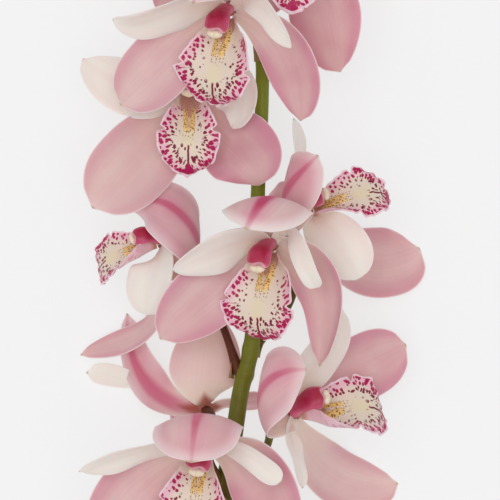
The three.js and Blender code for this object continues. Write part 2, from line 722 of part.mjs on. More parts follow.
/** A bud's foot just past its stalk, its direction and its tip. */
function budFrame(b) {
  const end = V(at(...b.stalk.at(-1)));
  const tip = V(at(...b.tip));
  const axis = tip.clone().sub(end).normalize();
  return { foot: end.clone().addScaledVector(axis, BUD_STALK.beyond), tip, axis };
}

/** A closed bud: a spindle that is fullest a little below its middle. */
function bud(b) {
  const { foot, tip, axis } = budFrame(b);
  const start = foot.clone().addScaledVector(axis, CLEAR);
  const length = tip.distanceTo(start);
  const side = new THREE.Vector3(0, 0, 1).cross(axis).normalize();
  const other = axis.clone().cross(side);
  const sides = 9;
  const rings = [0, 0.1, 0.3, 0.55, 0.78, 0.93, 1].map((t) => {
    const r = Math.max(b.fat * Math.sin(Math.PI * t ** 0.8) ** 0.75, t < 0.5 ? 2.4 : 0.9);
    return Array.from({ length: sides }, (_, j) => {
      const a = (j / sides) * 2 * Math.PI;
      return start
        .clone()
        .addScaledVector(axis, t * length)
        .addScaledVector(side, r * Math.cos(a))
        .addScaledVector(other, r * Math.sin(a));
    });
  });
  return loft(rings);
}

/** A papery sheath rolled round the stem, closed at its foot and running out to a point. */
function sheath(s) {
  const path = SPIKE.map((p) => at(...p));
  const radii = SPIKE_RADII.map((r) => [r]);
  const grid = [];
  for (let i = 0; i <= SHEATH.rows; i++) {
    const u = i / SHEATH.rows;
    const t = lerp(s.from, s.to, u);
    const { value, slope } = spline(path, t);
    const along = V(slope).normalize();
    const side = new THREE.Vector3(0, 0, 1).cross(along).normalize();
    const other = along.clone().cross(side);
    const r = spline(radii, t).value[0] + SHEATH.gap + SHEATH.flare * u ** 3;
    const half = SHEATH.wrap * (1 - 0.35 * u) * Math.sqrt(Math.max(1 - u ** 2.5, 0.004));
    const line = [];
    for (let j = 0; j <= SHEATH.cols; j++) {
      const a = s.turn + half * lerp(1, -1, j / SHEATH.cols);
      line.push(
        V(value).addScaledVector(side, r * Math.cos(a)).addScaledVector(other, r * Math.sin(a)),
      );
    }
    grid.push(line);
  }
  return slab(grid, SHEATH.thick);
}

/** A named mesh placed at its origin, cut flat where the solid would dip into the table. */
function node(name, body, material, origin = new THREE.Vector3()) {
  const m = body.trimByPlane([0, 0, 1], 0).getMesh();
  const kept = new Float32Array(m.numVert * 3);
  const local = origin.toArray();
  for (let i = 0; i < m.numVert; i++)
    for (let a = 0; a < 3; a++) kept[i * 3 + a] = m.vertProperties[i * m.numProp + a] - local[a];
  const g = new THREE.BufferGeometry()
    .setAttribute("position", new THREE.BufferAttribute(kept, 3))
    .setIndex(new THREE.BufferAttribute(m.triVerts, 1));
  g.computeVertexNormals();
  const mesh = new THREE.Mesh(g, material);
  mesh.name = name;
  return mesh;
}

/** One bloom as a group that stands at the bloom's centre. */
function bloom(b, number) {
  const f = bloomFrame(b);
  const name = `bloom_${String(number).padStart(2, "0")}`;
  const grid = lipGrid(f, b);
  const columnRoom = column(f, b.lip.size, CLEAR);
  const lip = largest(slab(grid, LIP.thick).subtract(columnRoom));
  const room = join([lip, slab(grid, LIP.thick + 2 * CLEAR), columnRoom]);
  const petals = whorl(f, b.petals, WHORLS.petals);
  const petalRoom = petals.add(whorl(f, b.petals, WHORLS.petals, CLEAR));
  const sepals = whorl(f, b.sepals, WHORLS.sepals);
  const group = new THREE.Group();
  group.position.copy(f.c);
  group.add(node(`${name}_sepals`, largest(sepals.subtract(room.add(petalRoom))), FINISH.sepals, f.c));
  group.add(node(`${name}_petals`, largest(petals.subtract(room)), FINISH.petals, f.c));
  group.add(node(`${name}_lip`, lip, FINISH.lip, f.c));
  group.add(node(`${name}_column`, column(f, b.lip.size), FINISH.column, f.c));
  return group;
}

const root = new THREE.Group();
root.add(node("stem", stem(), FINISH.stem));
SHEATHS.forEach((s, i) => root.add(node(`sheath_${i + 1}`, sheath(s), FINISH.sheath)));
BLOOMS.forEach((b, i) => root.add(bloom(b, i + 1)));
BUDS.forEach((b, i) => root.add(node(`bud_${i + 1}`, bud(b), FINISH.bud)));

export default root;
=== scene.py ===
"""Cymbidium orchid stem, cut and laid on a table: ten open blooms, two closed buds and three papery sheaths.

Shapes are worked out in millimetres with numpy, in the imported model's own frame, and become metres when a
mesh is made. Every bloom has five tepals (a rib curve, a leaf-shaped half width and a rolled cross-section),
a ruffled lip with two callus ridges, and a column with its anther cap. Each mesh carries a UV map and the
point attributes that its pattern reads: "surface" (mm across, mm along, mm to the free margin), "share"
(-1..1 across, 0..1 along, 1 on the inner face), "tone" (three strengths of its colours) and "seed" (its own
number).
"""

from __future__ import annotations

import logging
import math
from collections.abc import Callable, Sequence
from dataclasses import dataclass
from enum import Enum

import bpy
import numpy as np
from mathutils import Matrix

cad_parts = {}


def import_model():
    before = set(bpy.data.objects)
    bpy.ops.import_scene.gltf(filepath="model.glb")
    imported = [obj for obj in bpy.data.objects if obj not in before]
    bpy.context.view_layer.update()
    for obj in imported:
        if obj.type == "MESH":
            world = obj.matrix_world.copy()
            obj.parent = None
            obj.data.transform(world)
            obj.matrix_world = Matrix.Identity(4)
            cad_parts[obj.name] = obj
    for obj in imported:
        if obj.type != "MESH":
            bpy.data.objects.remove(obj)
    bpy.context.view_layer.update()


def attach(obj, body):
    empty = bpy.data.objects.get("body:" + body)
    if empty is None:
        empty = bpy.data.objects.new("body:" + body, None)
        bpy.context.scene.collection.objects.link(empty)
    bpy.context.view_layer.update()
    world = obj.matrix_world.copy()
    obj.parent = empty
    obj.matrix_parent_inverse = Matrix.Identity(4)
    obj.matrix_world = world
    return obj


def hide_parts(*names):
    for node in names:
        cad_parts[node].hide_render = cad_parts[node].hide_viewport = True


LOG = logging.getLogger("orchid")
Array = np.ndarray
Point = tuple[float, float, float]
Socket = bpy.types.NodeSocket
Value = Socket | float | str | tuple[float, ...]
Values = Sequence[Value] | dict[str | int, Value]
Setting = str | bpy.types.NodeTree

MM = 0.001
TURN = 2 * math.pi
WHITE = (1.0, 1.0, 1.0, 1.0)
SMOOTH = "SMOOTHSTEP"
FLESH_RADIUS = (1.0, 0.45, 0.35)  # how far red, green and blue light go under a skin
FAR = 99.0  # distance to a margin, in mm, where a surface has none


# --- small formulas
def unit(vectors: Array) -> Array:
    """Vectors scaled to length one along their last axis."""
    vectors = np.asarray(vectors, float)
    return vectors / np.maximum(np.linalg.norm(vectors, axis=-1, keepdims=True), 1e-12)


def ease(value: Array | float) -> Array:
    """Smooth step: 0 below 0, 1 above 1, and 3t^2 - 2t^3 between."""
    t = np.clip(value, 0, 1)
    return t * t * (3 - 2 * t)


def hump(value: Array | float, middle: float, width: float) -> Array:
    """Bell curve of height one round middle."""
    return np.exp(-(((value - middle) / width) ** 2))


def gather(rows: int, reach: float) -> Array:
    """Shares from 0 to 1 that crowd toward 1: sines of even angles up to reach."""
    return np.sin(np.linspace(0, 1, rows + 1) * reach) / math.sin(reach)


def through(points: Array, share: Array) -> tuple[Array, Array]:
    """Polynomial curve through points at even shares (Lagrange).

    Args:
        points: Places that the curve passes, first to last.
        share: Where along the curve, 0 to 1.

    Returns:
        Places on the curve, and the curve's derivative there.
    """
    knots = np.linspace(0, 1, len(points))
    place = np.zeros((len(share), points.shape[1]))
    slope = np.zeros_like(place)
    for i, knot in enumerate(knots):
        others = np.delete(knots, i)
        basis = np.poly1d(others, r=True) / np.prod(knot - others)
        place += np.outer(basis(share), points[i])
        slope += np.outer(basis.deriv()(share), points[i])
    return place, slope


def spline(points: Array, share: Array) -> tuple[Array, Array]:
    """Cubic Hermite curve through points, its slopes taken from the neighbours.

    Args:
        points: Places that the curve passes, first to last, with any number of columns.
        share: Where along the curve, 0 to 1.

    Returns:
        Places on the curve, and the curve's derivative by point number there.
    """
    points = np.asarray(points, float)
    last = len(points) - 1
    slopes = np.gradient(points, axis=0)
    i = np.clip((np.asarray(share) * last).astype(int), 0, last - 1)
    x = (share * last - i)[:, None]
    p, q, m, n = points[i], points[i + 1], slopes[i], slopes[i + 1]
    place = (2 * x**3 - 3 * x**2 + 1) * p + (x**3 - 2 * x**2 + x) * m
    place += (3 * x**2 - 2 * x**3) * q + (x**3 - x**2) * n
    slope = (6 * x**2 - 6 * x) * p + (3 * x**2 - 4 * x + 1) * m
    return place, slope + (6 * x - 6 * x**2) * q + (3 * x**2 - 2 * x) * n


def lengths(line: Array) -> Array:
    """Length along a line of places up to each of them, starting at 0."""
    return np.concatenate([[0], np.cumsum(np.linalg.norm(np.diff(line, axis=0), axis=1))])


def offset(places: Array, *steps: tuple[Array, Array]) -> Array:
    """Places moved by each value times its axis, in turn.

    Args:
        places: Where they start.
        steps: Pairs of values, one for each place, and the axis that they go along.

    Returns:
        The moved places.
    """
    for value, axis in steps:
        places = places + value[..., None] * axis
    return places


def swept(line: Array, radius: Array, angle: Array, side: Array, other: Array) -> Array:
    """Places round each point of a line: line + radius (side cos angle + other sin angle)."""
    turned = np.cos(angle)[..., None] * side[:, None] + np.sin(angle)[..., None] * other[:, None]
    return line[:, None] + radius[..., None] * turned


def margin(across: Array, along: Array, half: Array) -> tuple[Array, Array]:
    """How far each point of a flattened blade lies from its free margin.

    The margin is the line of (half width, length along) from the foot to the tip, the same on both sides.
    Each point's distance is the least one to any straight step of that line.

    Args:
        across: Signed mm from the rib, a grid of rows by columns.
        along: Mm from the foot, one for each row.
        half: Half width in mm, one for each row.

    Returns:
        Mm to the margin, and mm along the margin from the tip, with the sign of the side.
    """
    start = np.stack([half, along], -1)[:-1]
    step = np.diff(np.stack([half, along], -1), axis=0)
    size = np.linalg.norm(step, axis=1)
    point = np.stack([np.abs(across), np.broadcast_to(along[:, None], across.shape)], -1)[..., None, :]
    share = np.clip(((point - start) * step).sum(-1) / np.maximum(size**2, 1e-9), 0, 1)
    gap = np.linalg.norm(point - start - share[..., None] * step, axis=-1)
    nearest = gap.argmin(-1)[..., None]
    run = np.concatenate([[0], np.cumsum(size)])
    edge = run[-1] - np.take_along_axis(run[:-1] + share * size, nearest, -1)[..., 0]
    return np.take_along_axis(gap, nearest, -1)[..., 0], edge * np.sign(across + 1e-9)


# --- closed meshes
@dataclass
class Part:
    """A closed mesh in millimetres with the coordinates that its pattern reads."""

    places: Array
    faces: list[Sequence[int]]
    surface: Array
    share: Array
    tone: Array
    seed: float = 0.0
    finish: int = 0


def spread(values: Sequence[Array | float], shape: tuple[int, ...]) -> Array:
    """Three values for each grid point, from arrays or plain numbers, as one list of rows."""
    return np.stack([np.broadcast_to(np.asarray(v, float), shape) for v in values], -1).reshape(-1, 3)


def shell(
    middle: Array,
    thick: Array,
    surface: Sequence[Array | float],
    across: Array,
    along: Array,
    tone: Sequence[Array | float],
    raised: Array | float = 0.0,
    seed: float = 0.0,
) -> Part:
    """Gives a grid of mid-surface places a thickness and closes it round its rim.

    Inner face = middle + normal * (thick / 2 + raised), outer face = middle - normal * thick / 2, where the
    normal is the cross product of the grid's own steps across and along.

    Args:
        middle: Grid of places, rows along the blade and columns across it.
        thick: Thickness at each grid point.
        surface: Mm across, mm along and mm to the margin at each grid point.
        across: Share -1 to 1 across, for each grid point.
        along: Share 0 to 1 along, for each grid point.
        tone: The three strengths that colour the part.
        raised: Extra height of the inner face.
        seed: A number of the part's own, from which its pattern starts.

    Returns:
        The closed part.
    """
    rows, cols = middle.shape[:2]
    normal = unit(np.cross(np.gradient(middle, axis=1), np.gradient(middle, axis=0)))
    inner = middle + normal * (thick / 2 + raised)[..., None]
    outer = middle - normal * (thick / 2)[..., None]
    n = np.arange(rows * cols).reshape(rows, cols)
    m = n + rows * cols
    loops = [
        (n[:-1, :-1], n[:-1, 1:], n[1:, 1:], n[1:, :-1]),
        (m[:-1, :-1], m[1:, :-1], m[1:, 1:], m[:-1, 1:]),
        (n[:-1, 0], n[1:, 0], m[1:, 0], m[:-1, 0]),
        (n[1:, -1], n[:-1, -1], m[:-1, -1], m[1:, -1]),
        (n[0, 1:], n[0, :-1], m[0, :-1], m[0, 1:]),
        (n[-1, :-1], n[-1, 1:], m[-1, 1:], m[-1, :-1]),
    ]
    faces = np.concatenate([np.stack([c.ravel() for c in loop], 1) for loop in loops]).tolist()
    shape = (rows, cols)
    sides = [spread((across, along, side), shape) for side in (1.0, 0.0)]
    return Part(
        np.concatenate([inner.reshape(-1, 3), outer.reshape(-1, 3)]),
        faces,
        np.tile(spread(surface, shape), (2, 1)),
        np.concatenate(sides),
        np.tile(spread(tone, shape), (2, 1)),
        seed,
    )


def loft(rings: Array, surface: Sequence[Array | float], along: Array, tone: Sequence[Array | float]) -> Part:
    """Closes a stack of rings into a solid, with one flat face at each end.

    Args:
        rings: Grid of places, one closed ring in each row, turning right-handed about the way the rows go.
        surface: Mm round, mm along and mm to a margin at each grid point.
        along: Share 0 to 1 along, for each grid point.
        tone: The three strengths that colour the part.

    Returns:
        The closed part.
    """
    rows, sides = rings.shape[:2]
    n = np.arange(rows * sides).reshape(rows, sides)
    k = np.roll(n, -1, axis=1)
    quads = np.stack([n[:-1].ravel(), k[:-1].ravel(), k[1:].ravel(), n[1:].ravel()], 1).tolist()
    faces = quads + [n[0, ::-1].tolist(), n[-1].tolist()]
    turn = np.linspace(-1, 1, sides, endpoint=False)[None]
    shape = (rows, sides)
    share = spread((turn, along, 0.0), shape)
    return Part(rings.reshape(-1, 3), faces, spread(surface, shape), share, spread(tone, shape))


def add_object(name: str, data: bpy.types.ID) -> bpy.types.Object:
    """A new object that holds this data, linked to the scene.

    Args:
        name: The object's name.
        data: Its mesh, lamp or camera.

    Returns:
        The object.
    """
    obj = bpy.data.objects.new(name, data)
    bpy.context.scene.collection.objects.link(obj)
    return obj


def piece(
    name: str,
    parts: Sequence[Part],
    finishes: Sequence[bpy.types.Material],
    node: str,
    crease: float = 50.0,
) -> None:
    """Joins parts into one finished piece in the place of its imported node, and reports it.

    Args:
        name: The piece's name.
        parts: Closed parts in millimetres.
        finishes: Materials that the parts number.
        node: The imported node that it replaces.
        crease: Edges that bend more than this many degrees are shaded sharp.
    """
    starts = np.cumsum([0] + [len(part.places) for part in parts])
    faces = [[v + int(start) for v in face] for part, start in zip(parts, starts) for face in part.faces]
    mesh = bpy.data.meshes.new(name)
    places = np.concatenate([part.places for part in parts])
    places[:, 2] = np.maximum(places[:, 2], 0.0)  # what touches the table lies flat on it
    mesh.from_pydata(places * MM, [], faces)
    for label in ("surface", "share", "tone"):
        values = np.concatenate([getattr(part, label) for part in parts]).astype(np.float32)
        mesh.attributes.new(label, "FLOAT_VECTOR", "POINT").data.foreach_set("vector", values.ravel())
    seeds = np.repeat([part.seed for part in parts], [len(part.places) for part in parts]).astype(np.float32)
    mesh.attributes.new("seed", "FLOAT", "POINT").data.foreach_set("value", seeds)
    share = np.concatenate([part.share for part in parts])
    corners = np.empty(len(mesh.loops), np.int32)
    mesh.loops.foreach_get("vertex_index", corners)
    uv = np.stack([share[corners, 0] / 2 + 0.5, share[corners, 1]], -1).astype(np.float32)
    mesh.uv_layers.new(name="surface_map").data.foreach_set("uv", uv.ravel())
    index = np.repeat([part.finish for part in parts], [len(part.faces) for part in parts]).astype(np.int32)
    mesh.polygons.foreach_set("material_index", index)
    mesh.polygons.foreach_set("use_smooth", np.ones(len(faces), bool))
    mesh.set_sharp_from_angle(angle=math.radians(crease))
    for finish in finishes:
        mesh.materials.append(finish)
    obj = add_object(name, mesh)
    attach(obj, "root")
    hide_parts(node)
    mesh.calc_loop_triangles()
    LOG.info("%s replaces %s: %d triangles", name, node, len(mesh.loop_triangles))


# --- layout
@dataclass(frozen=True)
class Layout:
    """The flat sheet that the stem is laid out on, seen from above, in half-mm steps from its upper left."""

    step: float = 0.5
    half_side: float = 125.0
    shift: tuple[float, float] = (-1.3, 30.5)
    axis_height: float = 46.0  # of the spike above the table where it is level

    def at(self, points: Sequence[Point] | Point) -> Array:
        """Places in mm of points on the sheet.

        Args:
            points: One or more of (steps right, steps down, mm above the spike's axis).

        Returns:
            The same as (x, y, z).
        """
        p = np.asarray(points, float)
        x = p[..., 0] * self.step - self.half_side + self.shift[0]
        y = self.half_side - p[..., 1] * self.step + self.shift[1]
        return np.stack([x, y, p[..., 2] + self.axis_height], -1)


LAYOUT = Layout()


# --- tepals
class Whorl(Enum):
    """The two rings of tepals: slot, mm along the bloom's axis, radius in mm, and usual blush."""

    SEPALS = ("sepal", -0.3, 4.4, 0.62)
    PETALS = ("petal", 1.6, 3.8, 0.1)

    def __init__(self, slot: str, forward: float, radius: float, blush: float) -> None:
        """Names the four values of a ring."""
        self.slot, self.forward, self.radius, self.blush = slot, forward, radius, blush


@dataclass(frozen=True)
class BladeMesh:
    """How finely a blade is made and how thick it is, in mm."""

    rows: int
    cols: int
    middle: float
    edge: float


TEPAL_MESH = BladeMesh(rows=48, cols=24, middle=1.25, edge=0.4)
LIP_MESH = BladeMesh(rows=124, cols=64, middle=1.2, edge=0.45)


def tepal_width(u: Array, foot: float, peak: float, blunt: float) -> Array:
    """Share of the half width: rises from the foot as a sine to the peak, falls round to a small point.

    Args:
        u: Share along the tepal.
        foot: Share of the width at the foot.
        peak: Share along where it is widest.
        blunt: How round it falls past the peak.

    Returns:
        Share of the greatest half width.
    """
    rise = foot + (1 - foot) * np.sin(np.clip(u / peak, 0, 1) * math.pi / 2) ** 1.15
    fall = np.maximum(1 - np.clip((u - peak) / (1 - peak), 0, 1) ** blunt, 0) ** 0.62
    point = 3.4 * blunt * (1 - u) + 0.012
    return np.minimum(np.where(u < peak, rise, fall), point)


@dataclass(frozen=True)
class Tepal:
    """One sepal or petal.

    rib: four sheet points from foot to tip; the foot itself is set on the whorl's ring.
    half: greatest half width in mm. n0, n1: where the inner face looks, low down and at the tip.
    curl: half angle of the rolled cross-section. foot, peak, blunt: the outline's shape.
    blush: how pink it is. streak: strength of the magenta streak along its outer midrib.
    wave: height in mm of the slow waves in its margin.
    """

    rib: tuple[Point, ...]
    half: float
    n0: Point
    n1: Point
    curl: float = 0.3
    foot: float = 0.3
    peak: float = 0.52
    blunt: float = 2.2
    blush: float | None = None
    streak: float = 0.25
    wave: float = 0.9

    def part(self, frame: BloomFrame, whorl: Whorl, seed: float) -> Part:
        """The tepal as a thin closed solid.

        The mid-surface is rib(u) + across * (w / curl) sin(curl v) + normal * (w / curl)(1 - cos(curl v)),
        with the normal turning from the bloom's axis to n0 and on to n1. A shallow furrow along the rib, slow
        waves toward the margin and a margin that bends back slightly are added along the normal.

        Args:
            frame: The bloom's axes.
            whorl: The ring that the tepal stands on.
            seed: Phase of its waves.

        Returns:
            The closed part.
        """
        u = gather(TEPAL_MESH.rows, 1.53)
        t = np.linspace(-1, 1, TEPAL_MESH.cols + 1)
        v = np.sign(t) * (1 - (1 - np.abs(t)) ** 1.25)
        rib = LAYOUT.at(self.rib)
        rib[0] = frame.foot(rib[1], whorl)
        line, slope = through(rib, u)
        along = unit(slope)
        look = unit(unit(self.n0) * (1 - u)[:, None] + unit(self.n1) * u[:, None])
        turn = ease(u / 0.3)[:, None]
        normal = frame.forward * (1 - turn) + look * turn
        normal = unit(normal - (normal * along).sum(1, keepdims=True) * along)
        sideways = np.cross(along, normal)
        half = self.half * tepal_width(u, self.foot, self.peak, self.blunt)
        length = lengths(line)
        x = half[:, None] * v
        rim, _ = margin(x, length, half)
        rise = u[:, None]
        lift = (half / self.curl)[:, None] * (1 - np.cos(self.curl * v))
        waves = np.sin(TURN * 1.6 * rise + seed + 1.9 * np.sign(v)) * np.abs(v) ** 3
        lift += self.wave * waves * np.sin(math.pi * rise) ** 0.7
        lift += 0.4 * np.sin(9 * rise + seed) * np.cos(2.4 * v + 1.7 * seed) * ease(rise / 0.3)
        lift -= 0.38 * hump(x, 0, 0.9) * (1 - rise)
        lift -= 0.55 * np.exp(-rim / 1.1) * ease(rise / 0.25)
        across = (half / self.curl)[:, None] * np.sin(self.curl * v)
        middle = offset(line[:, None], (across, sideways[:, None]), (lift, normal[:, None]))
        edge = TEPAL_MESH.edge
        body = TEPAL_MESH.middle + 0.7 * hump(u, 0, 0.22)[:, None] - 0.35 * rise
        thick = edge + (body - edge) * (1 - np.exp(-rim / 2.4))
        blush = whorl.blush if self.blush is None else self.blush
        tone = (blush, self.streak, 0.0)
        return shell(middle, thick, (x, length[:, None], rim), v[None], rise, tone, seed=seed)


# --- a bloom's axes
@dataclass(frozen=True)
class BloomFrame:
    """A bloom's centre and its axes: forward out of its face, up toward its dorsal sepal, and right."""

    centre: Array
    forward: Array
    up: Array
    right: Array

    @classmethod
    def of(cls, centre: Point, face: Point, up: Point) -> BloomFrame:
        """The frame of a bloom, its up squared to its face.

        Args:
            centre: Its sheet point.
            face: The way that it faces.
            up: About the way of its dorsal sepal.

        Returns:
            The frame.
        """
        forward = unit(face)
        square = unit(np.asarray(up, float) - np.dot(up, forward) * forward)
        return cls(LAYOUT.at(centre), forward, square, np.cross(square, forward))

    def place(self, forward: Array | float, up: Array | float, right: Array | float) -> Array:
        """Places that lie so many mm forward, up and right of the centre."""
        values = (np.asarray(value, float) for value in (forward, up, right))
        return offset(self.centre, *zip(values, (self.forward, self.up, self.right)))

    def grown(self, forward: Array, up: Array, right: Array, size: float) -> Array:
        """The same with sizes scaled, and mm forward counted from where lip and column start."""
        return self.place(LIP_START + forward * size, up * size, right * size)

    def foot(self, toward: Array, whorl: Whorl) -> Array:
        """Where a tepal's rib starts: inside the whorl's ring, on the side of its second rib point.

        Args:
            toward: The second rib point.
            whorl: The ring of tepals.

        Returns:
            The place.
        """
        side = toward - self.centre
        side = unit(side - np.dot(side, self.forward) * self.forward)
        return self.centre + self.forward * whorl.forward + side * whorl.radius * FOOT_SINK

    def seat_disc(self, whorl: Whorl, blush: float) -> Part:
        """The low rounded disc that a whorl's tepals share: an ellipsoid about the bloom's axis.

        Args:
            whorl: The ring of tepals.
            blush: How pink it is.

        Returns:
            The closed part.
        """
        t = np.linspace(0.03, 0.97, 11)[:, None] * math.pi
        a = np.linspace(0, TURN, 32, endpoint=False)[None]
        radius = whorl.radius * np.sin(t)
        height = whorl.forward - DISC_HALF * np.cos(t) + 0 * a
        rings = self.place(height, radius * np.sin(a), radius * np.cos(a))
        return loft(rings, (0.0 * a, 0.0 * t, FAR), 0 * t, (blush, 0.0, 0.0))


LIP_START = 2.9  # mm along the bloom's axis
FOOT_SINK = 0.7  # share of the ring's radius where a tepal's rib starts
DISC_HALF = 1.3  # half its height in mm
DISC_BLUSH = 0.1


# --- lip
@dataclass(frozen=True)
class LipShape:
    """How one bloom's lip differs.

    size: scale of lip and column. wide: factor on its breadth. taper: the midlobe's shape, 1 a triangle and
    2 round. phase: phase of its waves. cup: half angle of its trough at the foot. lean: how much steeper its
    right side stands than its left. tall: how much higher the steeper side stands. ridges: shares where its
    callus starts and ends.
    """

    size: float = 1.0
    wide: float = 1.0
    taper: float = 1.6
    phase: float = 0.0
    cup: float = 1.5
    lean: float = 0.0
    tall: float = 0.0
    ridges: tuple[float, float] = (0.1, 0.37)


@dataclass(frozen=True)
class Lip:
    """The lip: a trough whose sides stand up beside the column, and a midlobe that hangs from it.

    floor: its midline as (mm forward, mm up). width: half width in mm. notch: depth in mm of the cut between
    each side lobe and the midlobe. callus: how far its two ridges stand from the midline, and their height.
    """

    shape: LipShape
    floor: tuple[tuple[float, float], ...] = (
        (0, -4), (7.3, -9), (14.3, -14), (19.8, -20.5), (22.3, -28), (21.3, -35), (18.3, -41),
    )
    width: float = 16.6
    notch: float = 3.4
    callus_side: float = 2.0
    callus_height: float = 1.7

    def outline(self, u: Array) -> Array:
        """Half width without its notch: rises to the midlobe as a power, and falls round to the tip.

        Args:
            u: Share along the lip.

        Returns:
            Half width in mm.
        """
        rise = 0.36 + 0.64 * np.clip(u / 0.49, 0, 1) ** 1.1
        fall = (1 - np.clip((u - 0.5) / 0.5, 0, 1) ** self.shape.taper) ** 0.6
        return np.maximum(self.width * self.shape.wide * rise * fall, 0.12)

    def roll(self, u: Array) -> Array:
        """Half angle of the rolled cross-section: a deep trough at the foot that eases to flat at the tip.

        Args:
            u: Share along the lip.

        Returns:
            The angle in radians, never quite 0.
        """
        angle = self.shape.cup - (self.shape.cup - 0.3) * ease((u - 0.08) / 0.52)
        angle = angle - 0.35 * ease((u - 0.65) / 0.35)
        return np.where(np.abs(angle) < 1e-3, 1e-3, angle)

    def callus(self, x: Array, u: Array) -> Array:
        """Height of the two ridges on the lip's floor: bells across that draw together and swell at the end.

        Args:
            x: Mm from the midline.
            u: Share along the lip.

        Returns:
            Mm above the floor.
        """
        start, end = self.shape.ridges
        side = self.callus_side * (1 - 0.3 * ease((u - start) / (end - start)))
        width = 0.8 + 0.2 * hump(u, end - 0.04, 0.05)
        along = ease((u - start + 0.1) / 0.12) * (1 - ease((u - end + 0.04) / 0.06))
        return self.callus_height * along * hump(np.abs(x), side, width)

    def part(self, frame: BloomFrame) -> Part:
        """The lip as a thin closed solid.

        The mid-surface is floor(u) + right * (w / roll) sin(roll v) + normal * (w / roll)(1 - cos(roll v)).
        Waves grow with v^4, a frill runs along the midlobe's margin and dies away over 2 mm, the margin bends
        back, and its outline is scalloped toward the middle of the midlobe.

        Args:
            frame: The bloom's axes.

        Returns:
            The closed part.
        """
        phase = self.shape.phase
        u = gather(LIP_MESH.rows, 1.5)
        t = np.linspace(1, -1, LIP_MESH.cols + 1)
        v = np.sign(t) * (1 - (1 - np.abs(t)) ** 1.2)
        line, slope = spline(np.array(self.floor, float), u)
        tangent = unit(slope)
        whole = self.outline(u)
        half = whole - np.minimum(self.notch * hump(u, 0.465, 0.02), 0.4 * whole)
        length = lengths(line)
        x = half[:, None] * v
        reach, edge = margin(x, length, whole)
        rim = np.minimum(reach, half[:, None] * (1 - np.abs(v)))
        rise = u[:, None]
        roll = self.roll(u)[:, None] * np.maximum(1 + self.shape.lean * np.sign(v), 0.5)
        free = ease((rise - 0.44) / 0.16)  # the midlobe's own margin
        breadth = half[:, None] * (1 + self.shape.tall * hump(rise, 0.2, 0.17) * (v * self.shape.lean > 0))
        across = breadth / roll * np.sin(roll * v)
        lift = breadth / roll * (1 - np.cos(roll * v))
        lift += 1.5 * np.sin(15 * rise + 2.2 * v + phase) * v**4 * ease((rise - 0.3) / 0.25)
        frill = 0.75 * np.sin(TURN * edge / 7.3 + phase) + 0.3 * np.sin(TURN * edge / 3.9 + 2.3 * phase)
        lift += frill * np.exp(-rim / 2.2) * free
        lift += 0.35 * np.sin(TURN * edge / 4.6 + phase) * np.exp(-rim / 1.8) * (1 - free) * ease(rise / 0.2)
        lift -= 0.9 * np.exp(-rim / 1.9) * free
        lift += 0.3 * np.sin(13 * rise + phase) * np.cos(3.1 * v + phase) * ease((rise - 0.45) / 0.2)
        flip = 1 if phase % 2 > 1 else -1  # the side of the first of two nicks
        nick = 1.5 * hump(edge, (5.5 + phase % 1.4) * flip, 0.75)
        nick += 1.1 * hump(edge, (17 + phase % 2.3) * -flip, 0.8)
        scallop = 0.2 * (1 + np.sin(TURN * edge / 6.7 + 1.3 * phase)) + nick
        inward = -scallop * np.exp(-rim / 1.6) * free
        centre = np.interp(0.72, u, length)
        away = np.hypot(x, length[:, None] - centre) + 1e-6
        across = across + inward * x / away
        ahead = inward * (length[:, None] - centre) / away
        square = np.stack([-tangent[:, 1], tangent[:, 0]], -1)
        floor = offset(line[:, None], (ahead, tangent[:, None]), (lift, square[:, None]))
        middle = frame.grown(floor[..., 0], floor[..., 1], across, self.shape.size)
        thick = LIP_MESH.edge + (LIP_MESH.middle - LIP_MESH.edge) * (1 - np.exp(-rim / 2.0))
        tone = (self.shape.ridges[1], edge, reach)
        callus = self.callus(x, rise)
        return shell(middle, thick, (x, length[:, None], rim), v[None], rise, tone, callus, seed=phase)


